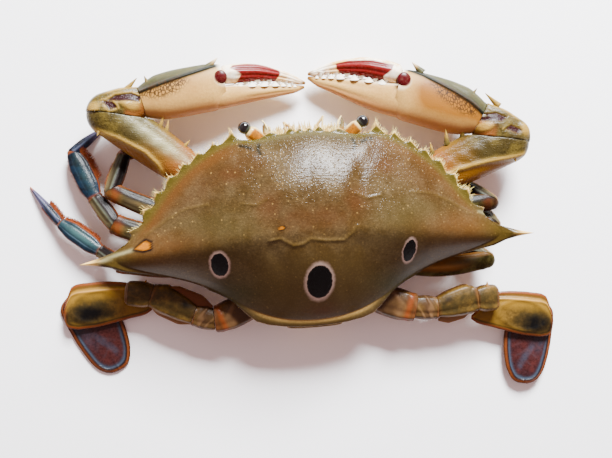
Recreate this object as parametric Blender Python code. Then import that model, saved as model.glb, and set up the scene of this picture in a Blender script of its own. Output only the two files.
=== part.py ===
"""Three-spot swimming crab at life size, lying on its belly with its claws closed in front of it.

The crab looks towards -Y, its own left is +X, and the surface that it lies on is Z = 0.
Every size below is in the crab's own millimetres, which CARAPACE_WIDTH turns into metres.
"""

import math

import bmesh
import bpy
import numpy as np
from mathutils import Vector

# Driving dimensions, in metres
CARAPACE_WIDTH = 0.141  # over the tips of the two long side spines
GAP = 0.0003  # left between two pieces that meet

MM = CARAPACE_WIDTH / 141  # one of the crab's own millimetres
UP = Vector((0, 0, 1))

# Heights above the floor
BELLY_TOP = 2.0  # underside of the breastplate, over the tail flap
THORAX_TOP = 12.0
SHELF = 12.4  # underside of the carapace over the thorax and legs
MOUTH_ROOF = 8.6  # the same in front, over the jaws
DOME = 31.0  # top of the back

# Edge of the carapace with all its teeth, from the middle of the brow round one side to the stern
EDGE = [
    (0, -29.9, 20.0),
    (1.5, -31.3, 20.2),  # inner brow tooth
    (3.0, -29.9, 20.0),
    (4.5, -31.9, 20.2),  # middle brow tooth
    (6.0, -29.9, 20.0),
    (7.7, -29.3, 20.0),
    (9.4, -30.1, 20.0),
    (10.8, -30.7, 20.0),  # blunt tooth beside the orbit
    (12.2, -29.8, 19.9),
    (14.2, -28.5, 19.8),  # orbit
    (16.2, -27.9, 19.7),
    (18.4, -28.2, 19.6),
    (20.6, -28.4, 19.3),
    (21.6, -29.8, 19.2),
    (22.7, -31.9, 19.4),  # first side tooth
    (23.9, -29.7, 19.0),
    (26.1, -27.4, 18.8),
    (27.5, -27.3, 18.8),
    (28.5, -28.6, 19.0),  # second
    (29.6, -26.8, 18.7),
    (31.6, -25.0, 18.5),
    (33.5, -25.6, 18.8),  # third
    (34.6, -24.0, 18.5),
    (36.3, -21.9, 18.3),
    (38.2, -22.7, 18.6),  # fourth
    (39.0, -21.0, 18.3),
    (39.9, -18.9, 18.1),
    (42.9, -19.0, 18.4),  # fifth
    (43.6, -17.0, 18.1),
    (44.3, -14.3, 17.9),
    (47.4, -14.3, 18.2),  # sixth
    (47.6, -12.0, 18.0),
    (47.5, -9.7, 17.8),
    (51.3, -9.2, 18.2),  # seventh
    (51.5, -7.0, 18.0),
    (51.3, -4.5, 17.8),
    (55.9, -2.8, 18.3),  # eighth
    (55.2, -0.9, 18.1),
    (54.8, 1.0, 18.0),
    (60.4, 3.2, 18.6),
    (66.0, 5.0, 19.0),
    (71.3, 6.4, 19.5),  # long side spine
    (66.0, 7.1, 19.0),
    (62.4, 7.9, 18.5),
    (58.5, 9.5, 18.0),
    (52.2, 10.6, 17.5),
    (46.7, 11.7, 17.0),
    (42.0, 12.8, 16.6),
    (37.6, 14.0, 16.2),
    (34.8, 15.2, 15.9),
    (32.8, 17.2, 15.6),
    (29.6, 18.7, 15.3),
    (26.4, 20.5, 15.0),
    (23.8, 23.3, 14.8),
    (21.2, 26.0, 14.6),
    (18.6, 28.2, 14.6),
    (15.0, 29.5, 14.6),
    (10.0, 30.4, 14.6),
    (5.0, 30.9, 14.6),
    (0, 31.0, 14.6),
]
TOP_RINGS = [0.98, 0.94, 0.88, 0.79, 0.67, 0.52, 0.35, 0.18]
UNDER_RINGS = [0.96, 0.85, 0.7, 0.56, 0.43, 0.22]
SHELF_EDGE = 0.56  # share of the way out from the middle where the underside starts to climb

# Breastplate, half of its outline; the edges named after it carry one limb's socket each
BREAST = [
    (0, -13.0),
    (8.0, -13.0),
    (15.2, -5.6),
    (17.8, 0.6),
    (18.4, 7.0),
    (16.6, 13.2),
    (13.6, 16.8),
    (8.0, 22.3),
    (0, 23.0),
]
SOCKET_EDGES = {"claw": 1, "leg2": 2, "leg3": 3, "leg4": 4, "oar": 6}
SOCKET_HEIGHTS = {"claw": 7.8, "leg2": 6.8, "leg3": 6.8, "leg4": 6.8, "oar": 7.6}

# Joints of every limb, from the breastplate out to the tip, as the crab lies
JOINTS = {
    "claw_l": [(29.0, -14.6, 9.2), (60.4, -39.8, 11.6), (50.0, -43.2, 10.8), (24.4, -47.3, 8.4)],
    "claw_r": [(-33.0, -11.0, 9.2), (-67.4, -24.4, 11.6), (-58.6, -32.2, 10.8), (-32.4, -42.0, 8.4)],
    "leg2_l": [(61.3, -16.0, 8.6), (57.0, -27.4, 4.4), (48.6, -33.6, 2.4), (38.4, -25.0, 0.35)],
    "leg2_r": [(-61.0, -4.8, 9.4), (-54.4, -10.6, 4.6), (-45.6, -17.6, 2.4), (-34.6, -19.5, 0.35)],
    "leg3_l": [(61.0, -5.6, 9.0), (66.9, -14.4, 6.0), (73.2, -29.4, 3.4), (62.6, -37.4, 0.35)],
    "leg3_r": [(-61.4, 3.2, 8.6), (-58.4, -2.6, 3.0), (-46.0, -4.4, 2.3), (-33.0, -5.6, 0.35)],
    "leg4_l": [(60.5, 7.2, 9.2), (66.4, 2.6, 6.2), (78.6, -7.2, 3.6), (87.7, -19.3, 0.35)],
    "leg4_r": [(-58.6, 14.0, 9.0), (-52.0, 9.4, 4.6), (-41.8, 6.4, 2.4), (-30.0, 5.0, 0.35)],
    "oar_l": [(31.8, 27.0, 8.0), (38.2, 25.2, 7.8), (51.0, 17.8, 7.6), (58.6, 16.6, 6.8)],
    "oar_r": [(-33.4, 28.0, 8.8), (-40.6, 28.8, 9.0), (-54.0, 26.8, 9.2), (-60.6, 26.9, 8.6)],
}
# How far the first long piece of a limb bows back towards the stern, in the middle
BOWS = {"leg2_l": 3.0, "leg2_r": 0.0, "leg3_l": 2.6, "leg3_r": 1.2, "leg4_l": 1.4, "leg4_r": 3.0}
# Breadth of each limb against the tables
BREADTHS = {
    "claw_l": 1.0,
    "claw_r": 1.12,
    "leg2_l": 0.95,
    "leg2_r": 0.92,
    "leg3_l": 1.05,
    "leg3_r": 1.05,
    "leg4_l": 0.9,
    "leg4_r": 0.98,
    "oar_l": 0.97,
    "oar_r": 1.03,
}
# Root and tip of the fixed finger and of the moving finger, and how much the moving one curves
FINGERS = {
    "claw_l": ((28.5, -42.9, 7.6), (-2.2, -46.0, 4.4), (23.6, -51.0, 8.2), (-2.6, -47.8, 4.8), 1.0),
    "claw_r": ((-35.5, -37.4, 7.6), (-4.0, -48.9, 4.4), (-33.2, -48.2, 8.2), (-4.2, -50.8, 4.8), 1.3),
}
# Ends of the broad plate and of the paddle under it
PLATES = {
    "oar_l": ((51.6, 21.2, 3.1), (79.4, 20.3, 3.1), (76.0, 17.4, 0.8), (65.0, 42.2, 0.8)),
    "oar_r": ((-53.0, 32.2, 5.1), (-80.9, 35.2, 5.1), (-76.2, 31.0, 2.8), (-71.4, 57.2, 2.8)),
}

# Section tables: (share of the length, half width, half thickness, shift towards the front edge)
CLAW_BASE = [(0.0, 3.6, 3.6, 0), (0.5, 4.0, 3.8, 0), (1.0, 4.4, 3.9, 0)]
CLAW_ARM = [
    (0.0, 4.4, 3.9, 0), (0.25, 5.8, 4.3, 0), (0.6, 6.7, 4.7, 0), (0.85, 6.8, 4.9, 0), (1.0, 6.8, 4.9, 0),
]
CLAW_WRIST = [(0.0, 7.0, 4.9, 0), (0.5, 6.6, 5.0, 0), (0.85, 5.4, 4.6, 0.2), (1.0, 4.8, 4.3, 0.2)]
PALM = [
    (0.0, 4.8, 4.3, 0),
    (0.08, 5.5, 4.8, 0),
    (0.24, 6.8, 5.4, 0.1),
    (0.5, 7.3, 5.6, 0.1),
    (0.82, 7.5, 5.2, 0.2),
    (1.0, 7.1, 4.8, 0),
    (1.06, 6.4, 4.4, 0),
]
FIXED_FINGER = [
    (0.0, 2.6, 2.8, 0),
    (0.12, 2.9, 3.0, 0),
    (0.26, 2.8, 3.0, -0.2),
    (0.52, 2.2, 2.5, -0.2),
    (0.75, 1.6, 1.8, -0.2),
    (0.9, 1.0, 1.2, 0),
    (1.0, 0.4, 0.4, 0.2),
]
MOVING_FINGER = [
    (0.0, 3.0, 3.1, 0),
    (0.08, 3.2, 3.3, 0.4),
    (0.22, 3.1, 3.3, 1.0),
    (0.42, 2.8, 3.0, 1.5),
    (0.61, 2.15, 2.4, 1.4),
    (0.8, 1.3, 1.6, 0.7),
    (0.92, 0.8, 1.0, 0.1),
    (1.0, 0.35, 0.4, -0.2),
]
LEG_ARM = [
    (0.0, 2.3, 2.1, 0), (0.2, 2.4, 2.1, 0), (0.32, 3.0, 2.3, 0), (0.65, 3.5, 2.5, 0), (1.0, 3.1, 2.3, 0),
]
LEG_WRIST = [(0.0, 2.5, 2.1, 0), (0.4, 2.8, 2.2, 0), (1.0, 2.3, 1.7, 0)]
LEG_HAND = [
    (0.0, 2.2, 1.6, 0), (0.3, 3.3, 1.8, 0), (0.65, 3.3, 1.7, 0), (0.9, 2.4, 1.4, 0), (1.0, 1.7, 1.2, 0),
]
LEG_TOE = [
    (0.0, 1.5, 1.1, 0), (0.3, 1.6, 1.0, 0), (0.65, 1.1, 0.8, 0), (0.9, 0.5, 0.5, 0), (1.0, 0.2, 0.25, 0),
]
OAR_BASE = [(0.0, 3.2, 3.2, 0), (0.35, 4.6, 3.8, -0.3), (0.75, 5.0, 3.6, -0.6), (1.0, 4.2, 3.2, -0.3)]
OAR_LINK = [(0.0, 3.6, 3.0, 0), (0.5, 3.9, 3.0, 0), (1.0, 3.3, 2.8, 0)]
OAR_ARM = [(0.0, 3.2, 2.8, 0.2), (0.3, 4.3, 3.0, 0.4), (0.75, 4.9, 2.9, 0.6), (1.0, 3.6, 2.6, 0.2)]
OAR_WRIST = [(0.0, 3.6, 2.6, 0), (0.4, 4.3, 2.8, 0), (0.85, 4.2, 2.5, 0), (1.0, 3.6, 2.2, 0)]
OAR_PLATE = [
    (0.0, 0.7, 0.3, -1.0),
    (0.055, 2.0, 0.7, -0.8),
    (0.13, 3.5, 1.0, 0.0),
    (0.2, 4.8, 1.1, 0.9),
    (0.27, 6.0, 1.15, 1.7),
    (0.38, 6.6, 1.15, 1.6),
    (0.53, 7.2, 1.15, 1.2),
    (0.67, 7.5, 1.15, 0.8),
    (0.82, 7.5, 1.05, 0.45),
    (0.9, 6.9, 0.95, 0.1),
    (0.95, 5.2, 0.85, -1.2),
    (0.985, 3.0, 0.6, -2.1),
    (1.0, 1.0, 0.35, -2.2),
]
PADDLE = [
    (-0.05, 2.0, 0.45, 0.4),
    (0.0, 4.9, 0.7, 0.2),
    (0.1, 7.1, 0.8, -0.3),
    (0.26, 8.1, 0.85, -0.8),
    (0.42, 8.3, 0.85, -0.9),
    (0.62, 7.7, 0.8, -0.95),
    (0.76, 6.6, 0.75, -0.95),
    (0.88, 5.0, 0.65, -0.9),
    (0.96, 2.9, 0.5, -0.8),
    (1.0, 1.0, 0.35, -0.7),
]
CAP_TURNS = (0.62, 1.12, 1.45)  # where a rounded end has its rings, in radians from its root
LEG_SIDES = 10
CLAW_SIDES = 14


def place(point):
    """A point in the crab's millimetres as a place in metres."""
    return Vector(point) * MM


def paint(name, colour, roughness):
    """A plain material of that colour."""
    material = bpy.data.materials.new(name)
    material.use_nodes = True
    shader = material.node_tree.nodes["Principled BSDF"]
    shader.inputs["Base Color"].default_value = (*colour, 1)
    shader.inputs["Roughness"].default_value = roughness
    shader.inputs["Metallic"].default_value = 0.0
    return material


def mesh_object(name, bm, material):
    """Links a bmesh as a smooth-shaded object with outward faces."""
    bmesh.ops.recalc_face_normals(bm, faces=bm.faces)
    mesh = bpy.data.meshes.new(name)
    bm.to_mesh(mesh)
    bm.free()
    mesh.materials.append(material)
    mesh.shade_smooth()
    mesh.set_sharp_from_angle(angle=math.radians(50))
    obj = bpy.data.objects.new(name, mesh)
    bpy.context.scene.collection.objects.link(obj)
    return obj


def skin_rings(rings, ends=True):
    """A closed tube through rings of equally many points, with a flat face on each end."""
    bm = bmesh.new()
    loops = [[bm.verts.new(p) for p in ring] for ring in rings]
    for near, far in zip(loops, loops[1:]):
        for k, vert in enumerate(near):
            nxt = (k + 1) % len(near)
            bm.faces.new((vert, near[nxt], far[nxt], far[k]))
    if ends:
        bm.faces.new(reversed(loops[0]))
        bm.faces.new(loops[-1])
    return bm


def trim(bm, planes):
    """Cuts away what lies past each plane, given as a point and the way that goes, and closes the cut."""
    for point, away in planes:
        geometry = bm.verts[:] + bm.edges[:] + bm.faces[:]
        bmesh.ops.bisect_plane(
            bm, geom=geometry, dist=1e-7, plane_co=point, plane_no=away, clear_outer=True
        )
        bmesh.ops.holes_fill(bm, edges=[e for e in bm.edges if e.is_boundary], sides=0)
    bmesh.ops.remove_doubles(bm, verts=bm.verts, dist=2e-6)
    bmesh.ops.dissolve_degenerate(bm, edges=bm.edges, dist=1e-6)


def keep_largest(bm):
    """Drops every closed surface but the one with the most faces."""
    left, islands = set(bm.faces), []
    while left:
        stack, island = [left.pop()], []
        while stack:
            face = stack.pop()
            island.append(face)
            for edge in face.edges:
                for other in edge.link_faces:
                    if other in left:
                        left.discard(other)
                        stack.append(other)
        islands.append(island)
    islands.sort(key=len)
    for island in islands[:-1]:
        bmesh.ops.delete(bm, geom=island, context="FACES")


def fuse(target, pieces, operation="UNION"):
    """Joins the pieces to the target as one closed solid, or hollows it by them."""
    group = bpy.data.collections.new(target.name + "_pieces")
    bpy.context.scene.collection.children.link(group)
    for piece in pieces:
        bpy.context.scene.collection.objects.unlink(piece)
        group.objects.link(piece)
    joint = target.modifiers.new("Fuse", "BOOLEAN")
    joint.operation = operation
    joint.operand_type = "COLLECTION"
    joint.collection = group
    joint.solver = "EXACT"
    graph = bpy.context.evaluated_depsgraph_get()
    fused = bpy.data.meshes.new_from_object(target.evaluated_get(graph))
    target.modifiers.clear()
    target.data = fused
    for piece in pieces:
        bpy.data.objects.remove(piece)
    bpy.data.collections.remove(group)
    bm = bmesh.new()
    bm.from_mesh(fused)
    bmesh.ops.remove_doubles(bm, verts=bm.verts, dist=5e-6)
    keep_largest(bm)
    bm.to_mesh(fused)
    bm.free()


def section(half_width, half_thickness, sides, squareness):
    """Points round a rounded cross-section, as (across, up) pairs."""
    points = []
    for k in range(sides):
        turn = 2 * math.pi * (k + 0.5) / sides
        across, up = math.cos(turn), math.sin(turn)
        points.append(
            (
                half_width * math.copysign(abs(across) ** (2 / squareness), across),
                half_thickness * math.copysign(abs(up) ** (2 / squareness), up),
            )
        )
    return points


def limb_frame(start, end, hand):
    """Length, direction, the way to the front edge and the way up of a limb piece."""
    along = end - start
    length = along.length
    along.normalize()
    across = UP.cross(along).normalized() * -hand
    return length, along, across, along.cross(across) * -hand


def with_caps(table, length, caps):
    """The table with a rounded end of that many millimetres added past its first and last rows."""
    rows = [(share * length / MM, *rest) for share, *rest in table]
    first, last = rows[0], rows[-1]
    for turn in CAP_TURNS if caps[0] else ():
        size = math.cos(turn)
        rows.insert(
            0, (first[0] - caps[0] * math.sin(turn), first[1] * size, first[2] * size, first[3])
        )
    for turn in CAP_TURNS if caps[1] else ():
        size = math.cos(turn)
        rows.append((last[0] + caps[1] * math.sin(turn), last[1] * size, last[2] * size, last[3]))
    return rows


def limb_piece(
    name, table, start, end, hand, sides, material, planes=(), caps=(0, 0), breadth=1.0, bow=0.0,
    squareness=2.3, grow=0.0,
):
    """One piece of a limb: a tube through its table of sections, cut by planes and by the floor."""
    length, along, across, lift = limb_frame(start, end, hand)
    rings = []
    for far, half_width, half_thickness, shift in with_caps(table, length, caps):
        share = min(max(far * MM / length, 0.0), 1.0)
        shift = shift * breadth - bow * 4 * share * (1 - share)
        middle = start + along * (far * MM) + across * (shift * MM)
        points = section(
            (half_width * breadth + grow) * MM, (half_thickness + grow) * MM, sides, squareness
        )
        rings.append([middle + across * a + lift * u for a, u in points])
    bm = skin_rings(rings)
    trim(bm, [*planes, (Vector((0, 0, 0)), -UP)])
    return mesh_object(name, bm, material)


def spike(name, root, tip, half_width, half_thickness, material, sides=6, lean=None):
    """A thin tapering spine. Its root ring lies at root, which is inside what it grows from."""
    along = (tip - root).normalized()
    across = (lean or UP).cross(along).normalized()
    lift = along.cross(across)
    rings = []
    for share, size in ((0, 1.0), (0.55, 0.62), (1.0, 0.07)):
        middle = root.lerp(tip, share)
        points = section(half_width * size, half_thickness * size, sides, 2)
        rings.append([middle + across * a + lift * u for a, u in points])
    return mesh_object(name, skin_rings(rings), material)


def edge_points():
    """The whole toothed edge of the carapace, starting at the brow and going round by the left."""
    return EDGE[:-1] + [(-x, y, z) for x, y, z in reversed(EDGE[1:])]


def smooth_loop(points, passes):
    """The loop with its teeth worn down: each point is moved between its neighbours, again and again."""
    table = np.array(points, float)
    for _ in range(passes):
        table = 0.5 * table + 0.25 * (np.roll(table, 1, axis=0) + np.roll(table, -1, axis=0))
    return table


def dome_height(share, rim):
    """Height of the back at that share of the way out to a rim point."""
    x, y, z = rim
    reach = math.hypot(x, y)
    headward = max(0.0, -y / reach) ** 2
    power = 1.85 + 0.45 * headward
    blunt = 0.96 - 0.16 * headward
    return z + (DOME - z) * (1 - share**power) ** blunt


def underside_height(share, rim):
    """Height of the carapace's underside at that share of the way out to a rim point."""
    x, y, z = rim
    headward = max(0.0, -y / math.hypot(x, y)) ** 4
    near_mouth = min(1.0, max(0.0, (-14.0 - y * share) / 2.5))
    shelf = SHELF + (MOUTH_ROOF - SHELF) * near_mouth * headward
    if share <= SHELF_EDGE:
        return shelf
    climb = (1 - share) / (1 - SHELF_EDGE)
    steep = 1.0 - 0.4 * headward
    return z - (z - shelf) * math.sin(climb * math.pi / 2) ** steep


def carapace_surface(edge):
    """Rings of the back shell, from the middle of its underside out round the teeth to the top."""
    rim = smooth_loop(edge, 10)
    rim[:, :2] *= 0.985
    rings = [
        [(p[0] * share, p[1] * share, underside_height(share, p)) for p in rim]
        for share in reversed(UNDER_RINGS)
    ]
    teeth_low, teeth_high = [], []
    for tip, root in zip(edge, rim):
        reach = math.hypot(tip[0] - root[0], tip[1] - root[1])
        middle = [(a + b) / 2 for a, b in zip(tip, root)]
        bulge = 0.35 + 0.13 * reach
        teeth_low.append((middle[0], middle[1], middle[2] - bulge - 0.1))
        teeth_high.append((middle[0], middle[1], middle[2] + bulge))
    rings += [teeth_low, list(edge), teeth_high]
    rings += [[(p[0] * share, p[1] * share, dome_height(share, p)) for p in rim] for share in TOP_RINGS]
    return rings


def carapace(material):
    """The back shell: a toothed dome, closed below, with a hollow for each eyestalk and feeler."""
    rings = carapace_surface(edge_points())
    bm = skin_rings([[place(p) for p in ring] for ring in rings], ends=False)
    count = len(rings[0])
    low, high = bm.verts.new(place((0, 0, SHELF))), bm.verts.new(place((0, 0, DOME)))
    bm.verts.ensure_lookup_table()
    last = count * (len(rings) - 1)
    for k in range(count):
        nxt = (k + 1) % count
        bm.faces.new((bm.verts[nxt], bm.verts[k], low))
        bm.faces.new((bm.verts[last + k], bm.verts[last + nxt], high))
    return mesh_object("carapace", bm, material)


def breastplate(material):
    """The thorax under the carapace, with one flat side face for each limb."""
    outline = BREAST + [(-x, y) for x, y in reversed(BREAST[1:-1])]
    levels = [(BELLY_TOP, 0.86), (BELLY_TOP + 1.6, 1.0), (THORAX_TOP, 1.0)]
    rings = [[place((x * size, y * size, z)) for x, y in outline] for z, size in levels]
    return mesh_object("breastplate", skin_rings(rings), material)


def tail_flap(material):
    """The tail, folded down behind the carapace and forward under the breastplate."""
    path = [  # y, z, half width
        (30.6, 13.2, 8.6),
        (31.2, 9.0, 8.8),
        (29.4, 4.6, 8.4),
        (25.8, 1.6, 7.6),
        (20.0, 0.85, 7.0),
        (12.0, 0.85, 5.6),
        (4.0, 0.85, 3.6),
        (-2.0, 0.85, 2.2),
        (-4.6, 0.85, 1.0),
    ]
    half_thickness = 0.85
    line = [Vector((0, y, z)) for y, z, _ in path]
    rings = []
    for k, (_, _, half_width) in enumerate(path):
        before, after = line[max(k - 1, 0)], line[min(k + 1, len(line) - 1)]
        along = (after - before).normalized()
        outward = along.cross(Vector((1, 0, 0)))
        rings.append(
            [
                place(line[k] + Vector((a, 0, 0)) + outward * u)
                for a, u in (
                    (half_width, -half_thickness * 0.4),
                    (half_width, half_thickness * 0.4),
                    (half_width * 0.8, half_thickness),
                    (-half_width * 0.8, half_thickness),
                    (-half_width, half_thickness * 0.4),
                    (-half_width, -half_thickness * 0.4),
                    (-half_width * 0.8, -half_thickness),
                    (half_width * 0.8, -half_thickness),
                )
            ]
        )
    bm = skin_rings(rings)
    trim(bm, [(Vector((0, 0, 0)), -UP)])
    return mesh_object("tail_flap", bm, material)


def jaws(material):
    """The two outer jaw plates that close the mouth from below."""
    table = [
        (0.0, 3.0, 0.9, 0), (0.1, 3.3, 1.1, 0), (0.5, 3.5, 1.1, 0), (0.9, 3.3, 1.1, 0), (1.0, 2.6, 0.8, 0),
    ]
    for side, tag in ((1, "l"), (-1, "r")):
        start, end = place((side * 3.75, -13.4, 5.0)), place((side * 3.75, -26.2, 8.6))
        limb_piece(f"jaw_{tag}", table, start, end, side, LEG_SIDES, material, squareness=3.2)


def eyes(shell, stalk_material, lens_material):
    """An eyestalk in each orbit, with its dark lens on the end."""
    stalk = [(0.0, 1.3, 1.3, 0), (0.5, 1.65, 1.6, 0), (1.0, 1.75, 1.7, 0)]
    lens = [(0.0, 1.75, 1.7, 0), (0.45, 2.0, 1.9, 0)]
    hollows = []
    for side, tag in ((1, "l"), (-1, "r")):
        root, neck = place((side * 13.6, -28.3, 17.4)), place((side * 17.4, -31.4, 18.6))
        end = place((side * 19.6, -33.2, 19.4))
        along = (end - neck).normalized()
        cut = [(neck - along * (GAP / 2), along)]
        limb_piece(f"eyestalk_{tag}", stalk, root, neck, side, LEG_SIDES, stalk_material, cut, (0.8, 1))
        cut = [(neck + along * (GAP / 2), -along)]
        limb_piece(f"eye_{tag}", lens, neck, end, side, LEG_SIDES, lens_material, cut, (1, 1.6), squareness=2)
        hollows.append(
            limb_piece(
                f"hollow_{tag}", stalk, root, end, side, LEG_SIDES, shell.active_material, (), (1, 1),
                grow=0.3,
            )
        )
    fuse(shell, hollows, "DIFFERENCE")


def antennae(shell, material):
    """The two outer feelers, each a stout base and a whip that bends down beside the mouth."""
    table = [
        (0.0, 1.2, 1.2, 0),
        (0.22, 1.3, 1.2, 0),
        (0.4, 0.9, 0.9, 0),
        (0.46, 0.42, 0.42, 0),
        (0.75, 0.35, 0.35, 0.3),
        (1.0, 0.25, 0.25, 0),
    ]
    hollows = []
    for side, tag in ((1, "l"), (-1, "r")):
        start, end = place((side * 9.4, -26.8, 14.8)), place((side * 12.6, -35.0, 13.8))
        limb_piece(f"antenna_{tag}", table, start, end, side, 8, material, squareness=2)
        hollows.append(
            limb_piece(
                f"hollow_{tag}", table[:3], start, end, side, 8, material, (), (0.5, 0),
                grow=0.3, squareness=2,
            )
        )
    fuse(shell, hollows, "DIFFERENCE")


def socket(limb, side):
    """Middle of a limb's socket on the breastplate, and the way that the socket faces."""
    edge = SOCKET_EDGES[limb]
    (x0, y0), (x1, y1) = BREAST[edge], BREAST[edge + 1]
    facing = Vector((side * (y1 - y0), x0 - x1, 0)).normalized()
    middle = place((side * (x0 + x1) / 2, (y0 + y1) / 2, SOCKET_HEIGHTS[limb]))
    return middle, facing


def joint_planes(points, facing):
    """For each piece of a limb, the planes that part it from the pieces before and after it."""
    ways = [(b - a).normalized() for a, b in zip(points, points[1:])]
    turns = [facing] + [(a + b).normalized() for a, b in zip(ways, ways[1:])]
    planes = []
    for k in range(len(ways)):
        reach = GAP if k == 0 else GAP / 2
        cuts = [(points[k] + turns[k] * reach, -turns[k])]
        if k + 1 < len(ways):
            cuts.append((points[k + 1] - turns[k + 1] * (GAP / 2), turns[k + 1]))
        planes.append(cuts)
    return planes


def claw(side, tag, shell, pale, red):
    """A claw arm: base, arm, wrist, hand with its fixed finger, and the moving finger."""
    limb = f"claw_{tag}"
    folded = -side  # past the elbow the limb runs back, so its front edge changes hands
    joints = [place(p) for p in JOINTS[limb]]
    root, facing = socket("claw", side)
    points = [root, *joints]
    planes = joint_planes(points, facing)
    hand_way = (points[4] - points[3]).normalized()
    hinge = points[4] + hand_way * (0.6 * MM)
    planes[3].append((hinge - hand_way * (GAP / 2), hand_way))
    pieces = {}
    tables = (
        ("base", CLAW_BASE, (2, 4), side),
        ("arm", CLAW_ARM, (3, 6.8), side),
        ("wrist", CLAW_WRIST, (7, 3), folded),
        ("hand", PALM, (2, 0), folded),
    )
    for k, (part, table, caps, hand) in enumerate(tables):
        pieces[part] = limb_piece(
            f"{limb}_{part}", table, points[k], points[k + 1], hand, CLAW_SIDES,
            pale if part == "hand" else shell, planes[k], caps, BREADTHS[limb],
        )
    arm_spines(pieces["arm"], points[1], points[2], side, shell)
    wrist_spines(pieces["wrist"], points[2], points[3], folded, shell)
    fixed_root, fixed_tip, moving_root, moving_tip, curve = FINGERS[limb]
    hand_spines(pieces["hand"], points[3], points[4], folded, pale)
    finger = limb_piece(
        "fixed_finger", FIXED_FINGER, place(fixed_root), place(fixed_tip), folded, CLAW_SIDES, pale,
        (), (1.5, 0.3), BREADTHS[limb],
    )
    teeth = finger_teeth("fixed_tooth", place(fixed_root), place(fixed_tip), folded, 1, 0.36, 6, 1.7, pale)
    fuse(pieces["hand"], [finger, *teeth])
    table = [(share, width, height, shift * curve) for share, width, height, shift in MOVING_FINGER]
    start, tip = place(moving_root), place(moving_tip)
    moving = limb_piece(
        f"{limb}_finger", table, start, tip, folded, CLAW_SIDES, red,
        [(hinge + hand_way * (GAP / 2), -hand_way)], (1.5, 0.3), BREADTHS[limb],
    )
    fuse(moving, finger_teeth("moving_tooth", start, tip, folded, -1, 0.24, 5, 1.5 - 1.3 * (curve - 1), red))


def arm_spines(arm, start, end, side, material):
    """Three sharp spines along the arm's front edge."""
    length, along, across, lift = limb_frame(start, end, side)
    spines = []
    for k, (share, edge) in enumerate(((0.25, 5.6), (0.48, 6.2), (0.64, 6.5))):
        root = start + along * (length * share) + across * ((edge - 2.0) * MM)
        tip = root + across * (4.6 * MM) - along * (1.0 * MM) + lift * (0.8 * MM)
        spines.append(spike(f"arm_spine_{k}", root, tip, 1.1 * MM, 1.0 * MM, material))
    fuse(arm, spines)


def wrist_spines(wrist, start, end, side, material):
    """The long inner spine of the wrist, over the base of the hand, and the short outer one."""
    length, along, across, lift = limb_frame(start, end, side)
    inner_root = start + along * (length * 0.55) + across * (-1.0 * MM) + lift * (3.2 * MM)
    inner_tip = inner_root + along * (8.0 * MM) + lift * (2.6 * MM)
    outer_root = start + along * (length * 0.5) + across * (4.6 * MM) + lift * (1.6 * MM)
    outer_tip = outer_root + along * (5.0 * MM) + across * (2.4 * MM) + lift * (1.2 * MM)
    fuse(
        wrist,
        [
            spike("wrist_inner", inner_root, inner_tip, 1.2 * MM, 1.1 * MM, material),
            spike("wrist_outer", outer_root, outer_tip, 1.1 * MM, 1.0 * MM, material),
        ],
    )


def hand_spines(hand, start, end, side, material):
    """The hand's spine at the wrist and the one over the knuckle."""
    length, along, across, lift = limb_frame(start, end, side)

    def at(share, shift, rise):
        return start + along * (length * share) + across * (shift * MM) + lift * (rise * MM)

    near = spike("hand_near", at(0.13, 3.6, 2.0), at(0.1, 7.6, 3.4), 1.1 * MM, 0.9 * MM, material)
    far = spike("hand_far", at(0.86, 5.4, 1.0), at(1.0, 9.0, 1.6), 1.4 * MM, 1.0 * MM, material)
    fuse(hand, [near, far])


def finger_teeth(name, start, tip, side, way, first, count, depth, material):
    """A row of blunt teeth along one edge of a finger, smaller towards its tip."""
    length, along, across, _ = limb_frame(start, tip, side)
    teeth = []
    for k in range(count):
        share = first + (0.9 - first) * k / count
        size = 1.0 - 0.09 * k
        root = start + along * (length * share)
        point = root + across * (way * (depth + 1.4 * size - 0.2 * k) * MM)
        teeth.append(spike(f"{name}_{k}", root, point, 1.3 * size * MM, 1.2 * size * MM, material, 4))
    return teeth


def walking_leg(number, side, tag, shell, blue):
    """A walking leg: arm, wrist, hand and pointed toe."""
    limb = f"leg{number}_{tag}"
    root, facing = socket(f"leg{number}", side)
    points = [root, *(place(p) for p in JOINTS[limb])]
    planes = joint_planes(points, facing)
    for k, (part, table, caps) in enumerate(
        (
            ("arm", LEG_ARM, (1, 2.6)), ("wrist", LEG_WRIST, (2.2, 2)), ("hand", LEG_HAND, (1.8, 1.5)),
            ("toe", LEG_TOE, (1.2, 0.2)),
        )
    ):
        limb_piece(
            f"{limb}_{part}", table, points[k], points[k + 1], side, LEG_SIDES,
            shell if part in ("arm", "wrist") else blue, planes[k], caps, BREADTHS[limb],
            BOWS[limb] if part == "arm" else 0.0,
        )


def swimming_leg(side, tag, shell, dark):
    """A swimming leg: base, link, arm and wrist, then a broad plate and a paddle folded in under it."""
    limb = f"oar_{tag}"
    root, facing = socket("oar", side)
    points = [root, *(place(p) for p in JOINTS[limb])]
    planes = joint_planes(points, facing)
    near, far, paddle_near, paddle_far = (place(p) for p in PLATES[limb])
    plate_top = near.z + OAR_PLATE[6][2] * MM
    planes[3].append((Vector((0, 0, plate_top + GAP)), -UP))
    for k, (part, table, caps) in enumerate(
        (
            ("base", OAR_BASE, (1, 2)), ("link", OAR_LINK, (2, 2)), ("arm", OAR_ARM, (2, 2.6)),
            ("wrist", OAR_WRIST, (2.6, 1)),
        )
    ):
        limb_piece(
            f"{limb}_{part}", table, points[k], points[k + 1], side, LEG_SIDES, shell, planes[k], caps,
            BREADTHS[limb],
        )
    limb_piece(f"{limb}_plate", OAR_PLATE, near, far, side, 12, shell)
    limb_piece(f"{limb}_paddle", PADDLE, paddle_near, paddle_far, side, 12, dark)


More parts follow.
